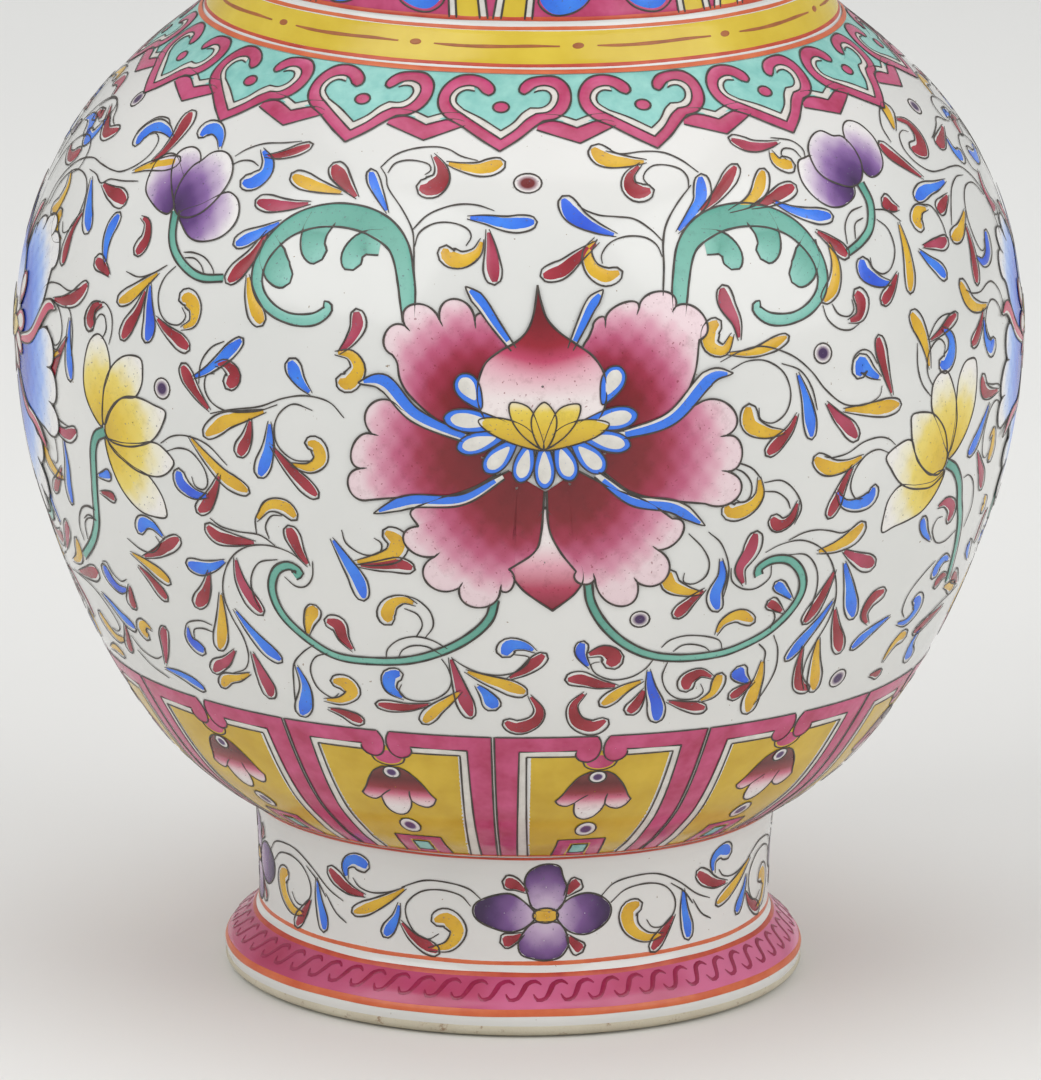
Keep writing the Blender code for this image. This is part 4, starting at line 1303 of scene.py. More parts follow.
    thin([(31.6, 149.4), (28, 152.4), (22, 153.6), (16, 152.4), (11, 149), (7.4, 143.6), (5.8, 138),
          (6.6, 132.4),
          (8.6, 126.6), (8.6, 121.4), (6.4, 117.2), (2, 115)])
    thin([(24, 150.2), (18.6, 148.6), (15.4, 144), (15, 139), (16, 135.6)])
    thin([(6, 158.2), (9, 156.6), (14, 156), (20, 156), (24, 153.8)])
    leaf("b", 4.6, [(8.8, 147.6), (4.4, 145.4), (0, 144.2), (-4.4, 144.6)])
    leaf("r", 4.4, [(3, 144), (1, 139.4), (-1.4, 135.8), (-4.8, 132.6)])
    leaf("p", 4.8, [(11.8, 149), (12, 143), (13.6, 138.4), (16.4, 134)])
    leaf("y", 4.6, [(5, 138.4), (3.6, 132), (1.8, 126.4), (-0.8, 121)])
    leaf("b", 4.6, [(8, 134.4), (11.2, 129), (14.6, 124.4), (18.2, 121)])
    thin([(-0.4, 128.2), (-4, 128.8), (-8.6, 127.4), (-10.4, 125.4)])
    thin([(-0.6, 126.2), (-4, 126.6), (-7.2, 125.6), (-8, 123)])
    leaf("c", 4.4, [(-9.4, 126.4), (-9.8, 122), (-5.6, 119)])
    leaf("p", 4.0, [(5, 122.4), (1, 118.4), (-2.6, 116.2), (-5.4, 113.6)])
    leaf("y", 3.6, [(7.6, 116), (3, 113.8), (-1, 112.6), (-4.2, 109.4)])
    leaf("p", 4.8, [(10, 122.8), (10.8, 117), (11.4, 112.4), (10.6, 109)])
    thin([(28.6, 127.6), (25, 125), (21.4, 121), (19.6, 115), (18, 108.8)])
    leaf("b", 4.6, [(22, 121), (22.6, 115), (21, 110), (18, 105)])
    thin([(31.6, 125.6), (28, 124), (25.6, 120), (26, 115), (29, 112.4), (31.4, 114)])
    leaf("y", 4.2, [(27.6, 130), (29, 134), (32, 139)])
    thin([(-25, 147), (-20, 145), (-15.6, 145.2), (-12.4, 148), (-13.4, 150)])
    leaf("b", 4.2, [(-10.2, 150), (-14, 152.8), (-17.6, 152.6), (-20, 149.4)])
    leaf("r", 4.2, [(-20, 143), (-14, 145.4), (-9, 148.4), (-4.6, 151.2)])
    leaf("y", 4.0, [(-25, 143.2), (-20, 141.6), (-15.4, 139.6), (-11.4, 137.4)])
    leaf("r", 4.0, [(-23, 140), (-19, 137), (-14.2, 132)])
    leaf("p", 3.8, [(-23.6, 111.4), (-21.6, 116), (-20, 121), (-18.2, 124)])
    leaf("b", 3.6, [(-24.6, 110.2), (-19, 109.8), (-14, 108.4), (-10.6, 106.6)])
    stem = [(-5, 144.0), (-6.4, 138.6), (-10.6, 133.6), (-17, 129.2), (-25, 126), (-34, 124.8)]
    p.stem([(x + radius_of(s) * math.radians(40), s) for x, s in stem]
           + [(34, 125.2), (27.6, 129), (22.2, 135), (20.8, 141.6), (23, 147), (26.8, 149), (29.4, 147.6),
              (27.8, 146.4)], 1.9, 2.1)


def yellow_flowers(p, half_turn):
    """The two small yellow flowers that face away from the lotus, seen from the side."""
    p.turn = half_turn - 54
    root = (0.5, 173.5)
    for outline, level in (
        ([(-0.5, 174.5), (-5, 177.6), (-7.8, 182), (-8.2, 188), (-6.6, 194), (-3, 196.6), (0.6, 195),
          (2.8, 191.4),
          (3, 188), (1, 183.6), (0, 179)], 0),
        ([(0, 176), (0.4, 181), (1.6, 186), (4.4, 190.6), (9, 193.6), (14.4, 193.8), (15.6, 190), (15.2, 187),
          (13, 184.2), (8, 183), (4, 179.4), (1.4, 175.6)], 1),
        ([(0.6, 172), (1.2, 168), (3.4, 163), (6, 159.4), (10, 156.4), (14, 155.2), (20.4, 155.6),
          (21.2, 158.4),
          (20, 162), (16.4, 165.6), (11, 167), (6, 169), (3, 170.6)], 0),
        ([(2, 171.8), (8, 172.2), (14, 173.2), (18, 174.2), (21.4, 174), (25, 171.8), (25.8, 170),
          (23, 167.2),
          (19, 165.8), (13, 166), (8, 167.6), (4, 169.4)], 1),
        ([(1, 173.6), (2, 177.4), (5.4, 181.4), (9.8, 183.8), (15, 184.4), (20, 183.6), (23.8, 182.6),
          (22.6, 179),
          (20, 175.6), (16.4, 173.4), (10, 171.6), (3.4, 171.6)], 2),
    ):
        p.petal(outline, root, 24, YELLOW_PETAL, level)
    p.stem([(0.6, 173.4), (-3, 171.6), (-5, 168), (-6, 162), (-7.2, 156), (-9, 149), (-12.4, 144), (-17, 140),
            (-23, 136)], 2.6, 2.2)
    p.leaf("b", 3.2, [(-4.6, 161.4), (-1.6, 162), (1.8, 163)])
    p.leaf("r", 3.0, [(-4.6, 157.2), (-1.6, 157.2), (2.4, 156.8)])
    p.leaf("r", 4.6, [(-2.4, 203.8), (-6, 202.4), (-7.8, 199.4), (-5.4, 197)])
    p.line([(2, 195), (2.6, 198.4), (1.6, 202), (-1, 204), (-3, 204.4)])
    p.line([(-1, 195.8), (0.2, 198.4), (-1.2, 201.2), (-3.4, 201.2), (-4.6, 199.6)])
    p.line([(-8.6, 151.6), (-12, 152), (-16, 150.6), (-19, 147.4)])
    p.line([(-9.4, 149), (-13, 149.4), (-16, 147.8)])
    p.turn = half_turn + 54
    root = (8, 166)
    for outline, level in (
        ([(8, 167), (12, 168.6), (16.4, 172.6), (19.6, 178), (20.4, 184), (20, 189), (17, 190), (13.6, 189.4),
          (10.6, 186), (9.8, 181), (9.6, 176), (8.4, 170)], 0),
        ([(6, 170), (2, 176), (-0.6, 179.8), (-1.6, 183), (-1, 187), (2, 189.2), (5.4, 189), (8, 185),
          (9.8, 180.4),
          (10.4, 175), (8.4, 169)], 1),
        ([(-11, 164), (-14.6, 161.6), (-15.6, 158), (-15.2, 152.8), (-11, 153.4), (-5, 154.2), (0, 155.6),
          (4.6, 159.4), (7, 164), (2, 162.6), (-5, 163)], 0),
        ([(0, 164.6), (-6, 169.4), (-8.4, 174.4), (-12, 175), (-17.6, 172.4), (-15.4, 168.6), (-12, 165),
          (-8, 162.8), (-3, 161.6), (2, 161.4), (7, 164), (4, 164.8)], 1),
        ([(7, 167), (5.6, 173.4), (2.4, 177.6), (-2, 180.4), (-8.8, 181.2), (-9.2, 178), (-8, 173),
          (-5, 168.6),
          (-1, 165.4), (4, 164)], 2),
    ):
        p.petal(outline, root, 24, YELLOW_PETAL, level)
    p.stem([(7.6, 166), (12, 163.6), (15.6, 159.4), (18, 154), (21, 148.6), (23.6, 141), (25.8, 130.6)], 2.4,
           2.4)
    p.leaf("y", 5.0, [(-2, 191), (-2.8, 196.4), (-4.4, 201), (-7, 206)])
    p.line([(-2, 184.4), (-5.4, 188), (-6.8, 192.6), (-6.2, 198)])
    p.line([(-1, 186.6), (-3, 190), (-2.6, 194), (0, 196.6), (3, 197.4), (5, 195.6), (4.2, 193.4)])
    p.leaf("r", 3.2, [(-1.4, 197.6), (4, 199), (8, 200.4), (12.6, 201.8)])
    p.line([(-2, 198), (2, 201.4), (6, 202.6), (11, 202.2)])
    p.leaf("b", 5.0, [(4.6, 199.8), (8, 196.8), (7.6, 193), (4.4, 191), (2, 192.4)])
    p.leaf("b", 3.4, [(7, 146), (3, 149.4), (0.2, 153.8)])
    p.leaf("p", 4.6, [(6.4, 155), (10.6, 155.4), (14.6, 152.8), (13.6, 149)])
    p.line([(17.6, 160.2), (21, 160.2), (25, 157), (27, 151), (25, 145.6)])
    p.line([(20, 146), (15, 144.2), (10, 145), (6.6, 148.8), (7.4, 151.6), (10, 151.8)])


def scroll_flanks(p, half_turn):
    """The scrolls that run from the small flowers round to the lotuses at the sides."""
    leaf, thin = p.leaf, p.line
    p.turn = half_turn + 70
    leaf("y", 4.4, [(-13, 248.4), (-10, 252), (-6.8, 256)])
    thin([(-18.4, 246), (-17, 250.4), (-13, 254), (-8, 256.6)])
    leaf("r", 5.4, [(-8.6, 251.2), (-4.6, 249), (-4.2, 245), (-7.4, 241.8), (-12.4, 243)])
    leaf("r", 4.6, [(-15, 235), (-19, 239.6), (-21.8, 243.6), (-22.6, 247.4)])
    thin([(-7.8, 246.8), (-9.6, 247.8), (-13, 246.8), (-15.2, 243.4), (-14.2, 239.4), (-10, 236), (-4, 235),
          (2, 234.6), (8, 233.4), (13, 230), (16.6, 225.6), (18.8, 220), (18.6, 213)])
    leaf("b", 4.4, [(-5, 232.4), (-11, 232.2), (-17, 232.4), (-23.6, 231)])
    leaf("r", 4.2, [(-7.4, 229.2), (-11, 228), (-16.4, 226.4)])
    thin([(7, 231.2), (2, 231.8), (-4, 230), (-9, 226), (-12.6, 222)])
    thin([(16, 224), (12, 228), (6, 228.8), (1, 226.6), (-2.4, 222), (-2.6, 217), (-1, 213.6), (1.6, 213.2),
          (3.4, 215.4)])
    leaf("y", 4.4, [(-2, 224), (-6, 221.6), (-10, 219.8), (-15.4, 219.2)])
    leaf("r", 4.4, [(-5, 221), (-5.8, 215), (-7, 210.6), (-8.2, 206)])
    leaf("c", 4.6, [(-5, 212.6), (-1, 210.4), (4, 211.8), (7.4, 217)])
    leaf("y", 4.8, [(-20, 228), (-24, 228.4), (-27, 226), (-25.4, 223.6)])
    thin([(-17, 219.8), (-16.6, 224), (-18, 228), (-21.6, 229.4)])
    leaf("p", 3.8, [(-29, 219.8), (-24, 219.4), (-20, 219), (-16.6, 219.6)])
    leaf("b", 4.4, [(-31, 219.4), (-28, 216), (-25, 213.4), (-22.8, 210.6)])
    leaf("y", 4.8, [(-4, 200.6), (-9, 201), (-14, 203.4), (-17, 209.4)])
    thin([(-15, 206.4), (-12, 205), (-7, 204.4), (-2, 205.4), (2, 205), (6, 202), (8, 197.6)])
    thin([(5, 196.4), (3, 199.6), (-1, 201.2), (-5, 199.6), (-7.2, 196), (-6.4, 193), (-4.4, 191.8)])
    leaf("r", 3.8, [(-7, 200.2), (-10, 196.8), (-13, 194.4), (-16.4, 193)])
    leaf("b", 4.6, [(-7.8, 198.2), (-7.2, 193.2), (-4.6, 190), (-1.2, 191.6)])
    leaf("r", 4.2, [(1.6, 178.4), (-5, 179), (-9, 180.8), (-10.8, 185)])
    thin([(-8.6, 182.4), (-4, 181), (1, 180), (5.6, 177.4)])
    leaf("b", 4.4, [(-4.8, 176.6), (-8.4, 172.4), (-11.6, 168.6), (-15.8, 165.6)])
    leaf("p", 4.2, [(-10.2, 165.8), (-6.6, 161.6), (-3.4, 157.8), (-1, 153.8)])
    thin([(4, 174.6), (0, 176.2), (-4.4, 174.6), (-7, 170), (-6.6, 165), (-4, 162.6), (-2, 163.4)])
    leaf("y", 4.8, [(-2.6, 166.8), (0.4, 168.4), (1.2, 164), (-0.4, 160.6)])
    p.dot("v", (6.6, 251.4), (2.4, 2.3))
    leaf("r", 4.4, [(15, 243.4), (9, 241.8), (5, 240.8), (1.8, 241.2)])
    thin([(1.8, 242.8), (5, 243.4), (10, 244.6), (15, 246), (20, 243.6)])
    leaf("b", 4.4, [(11.2, 241.2), (10.6, 237.4), (13, 235), (15.8, 236.2)])
    leaf("b", 4.6, [(-10.2, 137.6), (-14, 138.6), (-16.8, 136.6), (-15.6, 134)])
    leaf("r", 4.0, [(-7.6, 132.6), (-11, 133), (-14.6, 131)])
    leaf("b", 4.4, [(-27.6, 124), (-22.4, 123.4), (-19.4, 126.4), (-21.4, 129.4), (-24, 129.4)])
    thin([(-19.4, 139.4), (-24, 136.4), (-27.6, 132.4), (-27.6, 128), (-25, 125.2)])
    leaf("y", 4.4, [(-25.6, 112.6), (-24.4, 116.6), (-22, 118.8), (-18.6, 118.4)])
    leaf("y", 4.0, [(-6.6, 129.2), (-2, 128.2), (4, 126)])
    leaf("r", 4.0, [(6.4, 127), (1.6, 129.6), (-2.8, 132)])
    leaf("r", 4.2, [(0, 122.6), (-6, 121), (-11, 119.6), (-15.4, 118.6)])
    leaf("b", 4.6, [(-11, 119), (-12.4, 115), (-10.8, 111.4), (-7.4, 109.6)])
    thin([(8, 126), (2, 125), (-5, 123.8), (-11, 121.4), (-14.4, 119.4)])
    leaf("r", 3.2, [(-29, 109.6), (-26, 109.4), (-23, 108.6)])
    leaf("y", 4.4, [(3.4, 151), (6, 149), (4.4, 146.2)])
    leaf("b", 4.0, [(8, 133), (5, 136), (2, 139.4)])
    leaf("r", 4.0, [(12, 146), (10, 142), (9.4, 137)])
    p.turn = half_turn - 70
    leaf("r", 5.2, [(26, 239.4), (28, 244), (27.6, 250), (24.6, 255.6)])
    leaf("b", 5.0, [(27, 247.2), (22, 248.8), (17, 248.6), (14.6, 245.4), (15.6, 242)])
    thin([(22, 250.4), (19, 251.6), (14.6, 250.6), (12, 246.4), (13, 243)])
    thin([(17.6, 246), (20, 246.9), (23, 245.2), (23.6, 241.6), (21.4, 238), (17, 235.2), (12, 234.6),
          (5, 234.8),
          (-1, 235), (-8, 233), (-14, 229), (-18, 224), (-19.6, 218)])
    leaf("y", 4.4, [(21.4, 236), (26, 238.6), (31, 240.4), (36, 242)])
    leaf("r", 5.0, [(11.4, 230.6), (17, 229.6), (21.4, 229.2), (26, 228.2)])
    leaf("b", 4.8, [(4.4, 230.8), (8, 226.6), (11.4, 222.4), (15.4, 218.4)])
    leaf("r", 4.6, [(8.6, 223), (6.4, 218), (6, 213.6), (6.6, 208.4)])
    thin([(1, 232.2), (6, 232), (10.6, 230.6), (14, 232.4), (20, 233.2), (26, 234.4)])
    thin([(-17, 219), (-15, 225), (-10, 229.4), (-4, 230.8), (2, 229.8), (6, 226.4), (6.8, 221), (4.4, 217),
          (1.4, 215.8), (-0.8, 218)])
    leaf("y", 5.2, [(2, 213.8), (-2.6, 214.2), (-5.4, 217), (-4, 220.4)])
    leaf("b", 4.6, [(27.8, 213), (25.4, 217), (24.6, 221), (25.4, 226)])
    leaf("r", 4.2, [(31, 210.8), (27, 212.4), (22.4, 213.6)])
    leaf("r", 4.8, [(5.6, 200), (12, 200.8), (18, 203), (22.6, 207.4)])
    thin([(-5.6, 195.6), (-3, 200), (1, 203), (7, 204.1), (14, 203.8), (19, 205.4)])
    thin([(-3.6, 195.4), (0, 198.6), (5, 199.8), (10, 198.6), (13.2, 195), (13, 191.4), (10, 189.6),
          (7.8, 191)])
    leaf("y", 4.6, [(13.6, 188.4), (8, 187.4), (3.6, 188.6), (4, 193)])
    leaf("r", 4.4, [(16.8, 193.4), (13.4, 189), (10, 184.6), (7.4, 180.4)])
    leaf("b", 4.4, [(16.8, 197.8), (17.4, 192), (18.6, 187), (19.6, 182.6)])
    thin([(13, 200), (16.4, 199.2), (19, 195), (19.8, 189)])
    leaf("r", 4.8, [(30, 204), (27, 202.4), (26.4, 199.4), (28.6, 197.4)])
    leaf("r", 4.4, [(-13.6, 247.6), (-8, 244), (-3, 241.6), (2.8, 244.2)])
    thin([(-22, 245), (-18, 248.4), (-13, 249.4), (-8, 248), (-5, 245.4), (-1, 244.2)])
    leaf("b", 4.8, [(-9.6, 246), (-9.4, 241.6), (-12, 238), (-16.4, 239.4)])
    p.dot("v", (-1.2, 252.8), (2.3, 2.4))
    leaf("p", 4.0, [(5.4, 172.4), (10, 169.4), (15.6, 168.6), (21.6, 171)])
    thin([(-9, 172), (-5, 174.2), (0, 175), (6, 174), (12, 171.6), (18, 171)])
    leaf("b", 4.2, [(13.4, 167.4), (13.4, 161), (11.6, 155), (11, 149.8)])
    thin([(-6.4, 171.4), (-1, 172.3), (4, 170.6), (7.6, 166.6), (8, 162), (6, 159.4), (3.6, 159.6)])
    leaf("y", 5.2, [(9.6, 156.4), (4, 156.8), (-1, 160), (-0.4, 164.8)])
    leaf("r", 3.8, [(9.4, 159.4), (5, 155), (-1.2, 150.8)])
    leaf("b", 4.2, [(-4, 141), (-6.6, 146), (-7.4, 150), (-6.2, 154)])
    leaf("p", 4.2, [(-7.4, 133.6), (-3.6, 136.6), (0, 140), (3.6, 143.8)])
    leaf("y", 4.4, [(-3.6, 131.6), (1.4, 133), (5, 135.6), (7.4, 140.4)])
    leaf("r", 4.6, [(-2, 128.8), (4, 130), (10, 131.4), (15.2, 133.4)])
    leaf("b", 4.2, [(12, 126.8), (16, 124.4), (20, 121.4), (24.6, 119.6)])
    thin([(-9, 127.8), (-2, 128), (5, 127.4), (10, 125.4), (14, 121.4), (14.8, 118), (12, 116), (9, 116.2)])
    leaf("y", 4.8, [(14.4, 114.4), (9, 113.4), (4.6, 116), (2.4, 119.4)])
    leaf("r", 3.8, [(19, 120), (17, 115.6), (13.6, 110.6)])
    thin([(20, 117), (23, 113.4), (28, 112.4), (32, 114)])
    thin([(20, 112.8), (24, 109.4), (30, 107.2)])
    leaf("y", 3.8, [(-3.6, 107), (2, 108.4), (8, 108)])
    leaf("c", 4.6, [(28.6, 131.6), (24, 130.8), (20.6, 133), (19.8, 136.6)])
    thin([(30, 134.6), (26.6, 133.4), (23.6, 135), (22.4, 137.4), (20, 137.2)])
    leaf("r", 4.2, [(30.4, 133.4), (28.8, 129.6), (27.2, 126)])
    leaf("y", 4.6, [(33, 121.4), (30, 122.6), (27.6, 120.4), (29.6, 118)])
    thin([(24.6, 151.6), (20, 151.6), (15.6, 149.4), (12.6, 145), (12.8, 141)])
    thin([(24, 148.8), (20, 148.6), (16.6, 146.4), (15.4, 142)])


def scroll_side(p, turn):
    """Above and below a blue lotus: green tendrils, curls and leaves that mirror each other about its
    axis."""
    p.turn = turn + 2.9
    for hand in (1, -1):
        keys = "bryp" if hand > 0 else "rbpy"

        def put(points):
            return [(hand * x, s) for x, s in points]
        p.stem(put([(6.4, 158), (7.4, 150), (11.4, 143.4), (17.6, 140.4), (23.6, 142.4), (25.6, 147.6),
                    (22.6, 151),
                    (19.4, 149.4)]), 2.8, 2.0)
        p.line(put([(2.2, 148), (5, 139), (11, 132.6), (18, 130.4), (25, 132.8)]))
        p.line(put([(1.4, 138), (3.4, 129), (9, 122.8), (15, 122.6), (18.4, 126), (16.8, 129),
                    (13.6, 128.6)]))
        p.line(put([(1.6, 126), (4.4, 119), (9.4, 114.4), (14.6, 114.4), (17, 117.6)]))
        p.leaf(keys[0], 4.8, put([(4.4, 143.6), (1.6, 138.6), (1.8, 133.4), (4.8, 129.4)]))
        p.leaf(keys[1], 4.6, put([(12.6, 139.6), (17.4, 136.4), (23, 135.8), (28, 138.2)]))
        p.leaf(keys[2], 4.8, put([(11.4, 126.8), (9.4, 130.6), (5.8, 131.4), (3.8, 128.6)]))
        p.leaf(keys[3], 4.4, put([(15.6, 126.8), (20.4, 124.6), (24.8, 120.2), (25.6, 115)]))
        p.leaf(keys[1], 4.4, put([(8.8, 121.6), (12, 119.6), (16.2, 119.2), (20, 121)]))
        p.leaf(keys[0], 4.4, put([(15.6, 113.6), (13, 109.4), (8.6, 108.6), (4.6, 110.8)]))
        p.leaf(keys[2], 4.6, put([(21.6, 116.6), (20.6, 112), (17.2, 108.4)]))
        p.line(put([(3.4, 222), (6.4, 230.6), (12.4, 236.6), (19.4, 238.6), (25.4, 236.4), (27.4, 231.6),
                    (24.4, 229)]))
        p.line(put([(2.4, 228), (3.4, 238), (8, 246), (14, 249.6), (20, 248.4), (21.6, 244.4),
                    (18.6, 242.6)]))
        p.leaf(keys[1], 4.8, put([(8, 233.6), (12, 231.4), (16.6, 231.6), (21, 234.6)]))
        p.leaf(keys[2], 4.8, put([(22.6, 229.2), (26, 225.4), (25.4, 220.6), (21.4, 218.8)]))
        p.leaf(keys[0], 4.8, put([(4.8, 240), (8.4, 241.6), (12.8, 241), (16.4, 237.8)]))
        p.leaf(keys[3], 4.6, put([(11.6, 249), (8.2, 252.4), (4, 253), (1.4, 250.6)]))
        p.leaf(keys[1], 4.4, put([(18, 243), (15, 244.6), (12.6, 243.4), (12.4, 245.8)]))
    p.dot("v", (0, 236.4), (2.2, 2.3))
    p.dot("r", (0, 119.6), (2.2, 2.0))
    p.leaf("y", 4.6, [(0.2, 112.6), (-0.4, 109.6), (0.2, 106)])


def foot_scroll(p):
    """A four-petalled purple flower between two curling sprays, four times round the foot."""
    wash = ((0.0, (212, 198, 212)), (0.3, (190, 166, 196)), (0.6, (120, 82, 142)), (0.85, (78, 46, 102)),
            (1.0, (56, 32, 74)))
    for k in range(4):
        p.turn = 90 * k
        leaf, thin = p.leaf, p.line
        for points in ([(3.4, 39.2), (0.2, 41.4), (-2.8, 42)], [(12.4, 38), (14.6, 40.4), (16.4, 42)],
                       [(2.6, 28.8), (-0.2, 27.4), (-3.2, 26.4)], [(13, 28.2), (15, 25.6), (17, 23.6)]):
            leaf("r", 4.0, points)
        for outline in ([(5, 35), (3.4, 38.6), (2.6, 42), (4, 45), (7.6, 46.7), (11, 46), (12, 43), (13, 40),
                         (12.2, 36.6), (10.4, 34.6)],
                        [(5.2, 31.6), (2.4, 29), (1.2, 26), (2, 23.4), (5, 22.3), (8, 21.9), (11.4, 22.6),
                         (13.4, 25.4), (13, 28.4), (10.8, 31.4)],
                        [(5, 34.4), (0, 38.6), (-4.6, 38.4), (-9, 36.4), (-9.8, 33.6), (-7.6, 31.2),
                         (-2, 29.2),
                         (2, 29.8), (5, 32.2)],
                        [(10.6, 34.4), (13.6, 37.4), (18, 38.6), (22, 37.2), (24.2, 34.4), (23.2, 31),
                         (18.6, 28.2),
                         (14, 28.8), (10.8, 32)]):
            p.petal(outline, (7.7, 33.3), 15, wash)
        eye = washes((0, (206, 156, 40)), (1, (222, 178, 60)))
        line(p.ink, oval(p.flowers, (7.8, 33.3), (3.1, 1.9), p.turn, 1, tint=lambda u, q: eye(u)), p.turn, 2,
             0.45,
             closed=True)
        thin([(-8, 37.4), (-11, 39.8), (-16, 41), (-22, 41), (-28, 38.6)])
        thin([(-10.4, 35.4), (-13, 38), (-18, 39), (-23, 38), (-26.6, 34.6), (-26.6, 31), (-24.4, 27.6),
              (-21, 26.2), (-18.2, 27.8)])
        leaf("y", 5.2, [(-20.8, 23.6), (-15.6, 25), (-13.4, 29), (-16.4, 32), (-20.2, 30.8)])
        leaf("r", 3.8, [(-28.4, 30), (-24.6, 26), (-18, 22.8)])
        leaf("b", 3.6, [(-28.6, 34.6), (-29.6, 30.6), (-33, 25.2)])
        leaf("y", 3.8, [(-26.8, 38.6), (-31.4, 35.4), (-36.6, 32.4), (-42.4, 29.8)])
        thin([(-27, 38.8), (-31, 37), (-36, 36), (-40, 36.8), (-42, 38.8)])
        leaf("r", 4.2, [(-38, 34.8), (-43, 35.6), (-47, 37.6), (-50.4, 40)])
        leaf("b", 4.6, [(-43.8, 38), (-44.4, 41.4), (-41.6, 43.4), (-37, 42)])
        thin([(21.4, 37.4), (25, 40.6), (31, 41.8), (37, 41.4), (43, 38.6), (49, 34.4), (54, 32.2)])
        thin([(24, 35.6), (28, 38.6), (34, 39.4), (39, 38), (42, 34.6), (42, 31), (39, 28), (35.6, 28),
              (33.8, 30.2)])
        leaf("y", 5.2, [(38.8, 25.6), (33.6, 25.8), (29.6, 28.8), (29, 33), (32.6, 34.6)])
        leaf("r", 3.8, [(42.2, 30.4), (39, 26.4), (35, 21.8)])
        leaf("b", 4.0, [(44.8, 36.4), (45.2, 31), (46.4, 26), (46.8, 22.8)])
        thin([(40.8, 38.4), (45, 35.6), (48, 32)])
        thin([(48, 33), (51, 29), (54.6, 26.8)])


NECK_LEAVES = 8
NECK_TURN = 16.5
NECK_ROOT = 291.6


def neck_band(p):
    """Rose ground with eight tall leaves; their yellow borders meet in a V above the collar."""
    top = arc_of(NECK_TOP)
    ground = Layer("neck_rose_ground", ROSE, "pink_enamel")
    border = Layer("neck_yellow_leaf_borders", COLLAR_YELLOW, "yellow_enamel")
    white = Layer("neck_white_lines", RAISED_WHITE)
    ink = Layer("neck_outlines", INK_LINE)
    ring(ground, NECK_ROOT, top - 0.4, 0, 0.05, 0.0)
    p.white = white
    root_half = radius_of(NECK_ROOT) * math.radians(180 / NECK_LEAVES)

    def leaf_edge(inset):
        """One side of a leaf, from its root to its point, set in from the outermost edge."""
        return smooth([(root_half - 0.6 - 1.25 * inset, NECK_ROOT), (root_half - 5.4 - 1.02 * inset, 312),
                       (root_half - 11.6 - inset, 334), (root_half - 20.6 - 0.8 * inset, 356),
                       (0.05 if inset < 0.1 else 0.0, 372 - 2.0 * inset)], 1.0)

    for k in range(NECK_LEAVES):
        turn = NECK_TURN + 360.0 / NECK_LEAVES * k
        for hand in (1, -1):
            edges = [leaf_edge(inset) * (hand, 1) for inset in (0.0, 1.5, 6.0, 7.4)]
            between(white, edges[0], edges[1], turn, 1, 0.06, 4, 72)
            between(border, edges[1], edges[2], turn, 1, 0.08, 6, 72)
            between(white, edges[2], edges[3], turn, 1, 0.06, 4, 72)
            for edge in edges:
                line(ink, edge, turn, 2, 0.5)
        p.turn = turn
        leaf, thin = p.leaf, p.line
        for hand in (1, -1):
            def put(points):
                return [(hand * x, s) for x, s in points]
            leaf("b", 5.4, put([(3, 299), (7, 295.6), (12, 295), (16.4, 297.4)]))
            leaf("y", 4.4, put([(2, 301), (6, 301.6), (10, 304), (12, 308.6)]))
            leaf("b", 4.6, put([(1.6, 304), (3.4, 309), (7.6, 312.6), (9, 317.6)]))
            leaf("y", 3.8, put([(1.2, 332), (4, 335), (5.4, 338.6), (4.8, 343)]))
            leaf("b", 3.6, put([(0.8, 338), (2.6, 343), (3.2, 348), (2, 353)]))
            p.petal(put([(0.4, 316), (3, 317), (6, 320.4), (7.6, 325), (6, 328.6), (3, 327), (1, 322)]),
                    (0, 316), 14,
                    BLUE_PETAL, 1)
        p.petal([(-2.8, 319), (-3.6, 324), (0, 330.4), (3.6, 324), (2.8, 319), (0, 315.4)], (0, 316), 15,
                ((0.0, (150, 36, 60)), (0.5, (206, 110, 140)), (1.0, (236, 226, 222))), 3)
        p.dot("r", (0, 313.4), (1.9, 1.7))
        middle = turn + 180.0 / NECK_LEAVES
        p.turn = middle
        # Between two leaves' points, a hanging spray.
        for hand in (1, -1):
            leaf("y", 4.6, [(hand * 1.4, 366), (hand * 5.6, 364), (hand * 9.6, 366), (hand * 12, 371)])
            leaf("b", 4.6, [(hand * 1.2, 362), (hand * 4.4, 358), (hand * 5, 353), (hand * 3, 348)])
        p.petal([(-3.6, 371), (-5.2, 376), (0, 380.4), (5.2, 376), (3.6, 371), (0, 367.6)], (0, 368), 12,
                YELLOW_PETAL, 1)
        p.dot("r", (0, 340), (1.9, 2.3))
    p.white = None
    for layer in (ground, border, white, ink):
        layer.build()


def mouth_band():
    """The mouth: a yellow band with brown dashes under an orange-red lip."""
    low = arc_of(NECK_TOP)
    yellow = Layer("mouth_yellow_band", COLLAR_YELLOW, "yellow_enamel")
    red = Layer("mouth_red_lines", IRON_RED)
    dashes = Layer("mouth_brown_dashes", BROWN)
    ring(red, low - 1.2, low + 0.2, 1, 0.06, 0.08, 1.0)
    ring(yellow, low + 0.8, low + 9.6, 0, 0.07, 0.05, 2.0)
    ring(red, low + 9.9, low + 11.0, 1, 0.06, 0.08, 3.0)
    for k in range(12):
        oval(dashes, (0, low + 5.2), (1.6, 0.8), 30 * k, 1, 4.0)
        line(dashes, smooth([(5, low + 5.2), (20, low + 5.0), (36, low + 5.2)], 1.2), 30 * k, 1, 0.8,
             (0.5, 0.5))
    for layer in (yellow, red, dashes):
        layer.build()


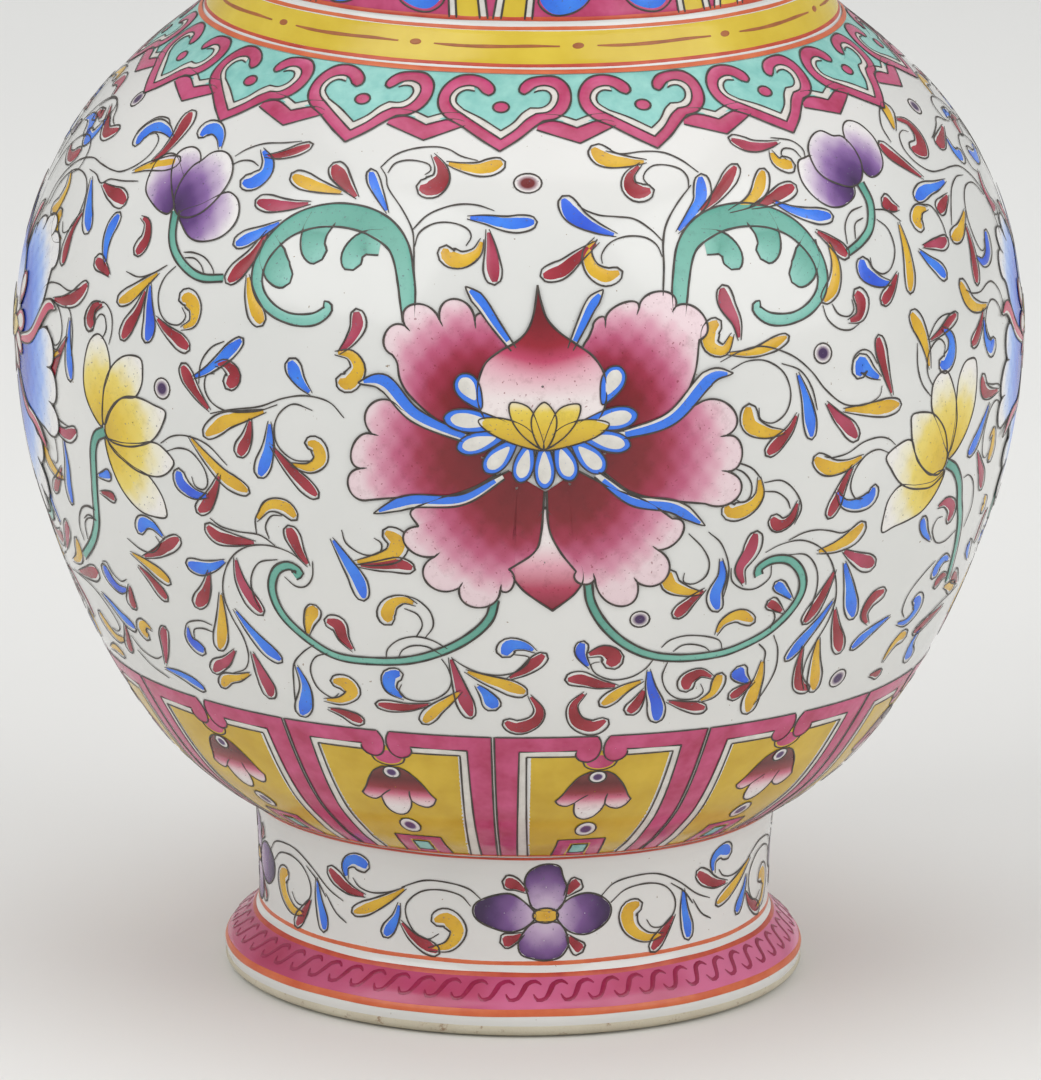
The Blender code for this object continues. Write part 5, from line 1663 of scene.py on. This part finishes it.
def scrolls():
    ink = Layer("scroll_outlines", INK_LINE)
    reds = Layer("scroll_red_leaves", WASHED_PLAIN, tinted=True)
    yellows = Layer("scroll_yellow_leaves", WASHED_PLAIN, "yellow_enamel", True)
    blues = Layer("scroll_blue_leaves", WASHED_PLAIN, tinted=True)
    greens = Layer("scroll_green_stems", WASHED_PLAIN, tinted=True)
    flowers = Layer("scroll_small_flowers", WASHED_PLAIN, tinted=True)
    p = Scroll(ink, reds, yellows, blues, greens, flowers)
    for half_turn in (0, 180):
        acanthus(p, half_turn + 40, 1)
        acanthus(p, half_turn - 34.2, -1)
        scroll_middle(p, half_turn)
        scroll_right(p, half_turn)
        scroll_left(p, half_turn)
        yellow_flowers(p, half_turn)
        scroll_flanks(p, half_turn)
        scroll_side(p, half_turn + 90)
    foot_scroll(p)
    neck_band(p)
    for layer in (ink, reds, yellows, blues, greens, flowers):
        layer.build()


scrolls()
mouth_band()


# ---------------------------------------------------------------- setting


LENS = 363.7
CAMERA_PLACE = (0.00082, -2.6, 0.7492)
CAMERA_TILT_DOWN = 13.88
CAMERA_ROLL = 0.56
FLOOR_HALF = 9.0
SWEEP_START = 3.0
SWEEP_RADIUS = 2.0
BACKDROP_TOP = 6.0
WORLD_STRENGTH = 0.6


def camera():
    """A long lens a little above the shoulder, looking down on it."""
    data = bpy.data.cameras.new("camera")
    data.sensor_fit = "AUTO"
    data.sensor_width = 36.0
    data.lens = LENS
    data.clip_end = 30.0
    obj = bpy.data.objects.new("camera", data)
    tilt = Euler((math.radians(90.0 - CAMERA_TILT_DOWN), 0.0, 0.0)).to_matrix().to_4x4()
    roll = Matrix.Rotation(math.radians(CAMERA_ROLL), 4, "Z")
    obj.matrix_world = Matrix.Translation(CAMERA_PLACE) @ tilt @ roll
    bpy.context.scene.collection.objects.link(obj)
    bpy.context.scene.camera = obj


def floor():
    """A wide pale floor that curves up far behind the vase, so that no horizon shows."""
    m = Shading("floor")
    cloud = m.spread(m.noise(1.5, 3.0), 0.3, 0.7)
    m.link(m.mix(cloud, rgba((226, 225, 222)), rgba((231, 230, 227))), m.shader.inputs["Base Color"])
    m.set(Roughness=0.9)
    profile = [(-FLOOR_HALF, 0.0), (SWEEP_START, 0.0)]
    for a in np.linspace(0.1, math.pi / 2, 14):
        profile.append((SWEEP_START + SWEEP_RADIUS * math.sin(a), SWEEP_RADIUS - SWEEP_RADIUS * math.cos(a)))
    profile.append((SWEEP_START + SWEEP_RADIUS, BACKDROP_TOP))
    mesh = bpy.data.meshes.new("floor")
    points = [(x, y, z) for y, z in profile for x in (-FLOOR_HALF, FLOOR_HALF)]
    faces = [(2 * i, 2 * i + 1, 2 * i + 3, 2 * i + 2) for i in range(len(profile) - 1)]
    mesh.from_pydata(points, [], faces)
    mesh.shade_smooth()
    mesh.materials.append(m.material)
    obj = bpy.data.objects.new("floor", mesh)
    bpy.context.scene.collection.objects.link(obj)


def area_light(name, place, aim, size, watts, colour=(1.0, 1.0, 1.0)):
    data = bpy.data.lights.new(name, "AREA")
    data.shape = "RECTANGLE"
    data.size, data.size_y = size
    data.energy = watts
    data.color = colour
    obj = bpy.data.objects.new(name, data)
    obj.location = place
    obj.rotation_euler = (Vector(aim) - Vector(place)).to_track_quat("-Z", "Y").to_euler()
    obj.visible_camera = False
    bpy.context.scene.collection.objects.link(obj)


def world():
    scene = bpy.context.scene
    scene.world = bpy.data.worlds.new("studio")
    scene.world.use_nodes = True
    back = scene.world.node_tree.nodes["Background"]
    back.inputs["Color"].default_value = (0.86, 0.88, 0.9, 1.0)
    back.inputs["Strength"].default_value = WORLD_STRENGTH
    scene.view_settings.view_transform = "Standard"


camera()
floor()
area_light("key_left", place=(-1.6, -1.5, 1.9), aim=(0, 0, 0.15), size=(2.1, 2.1), watts=27.0)
area_light("fill_right", place=(1.8, -1.2, 1.5), aim=(0, 0, 0.15), size=(2.1, 2.1), watts=23.0)
area_light("top", place=(0.0, 0.4, 2.4), aim=(0, 0, 0.1), size=(2.6, 2.6), watts=23.0)
world()
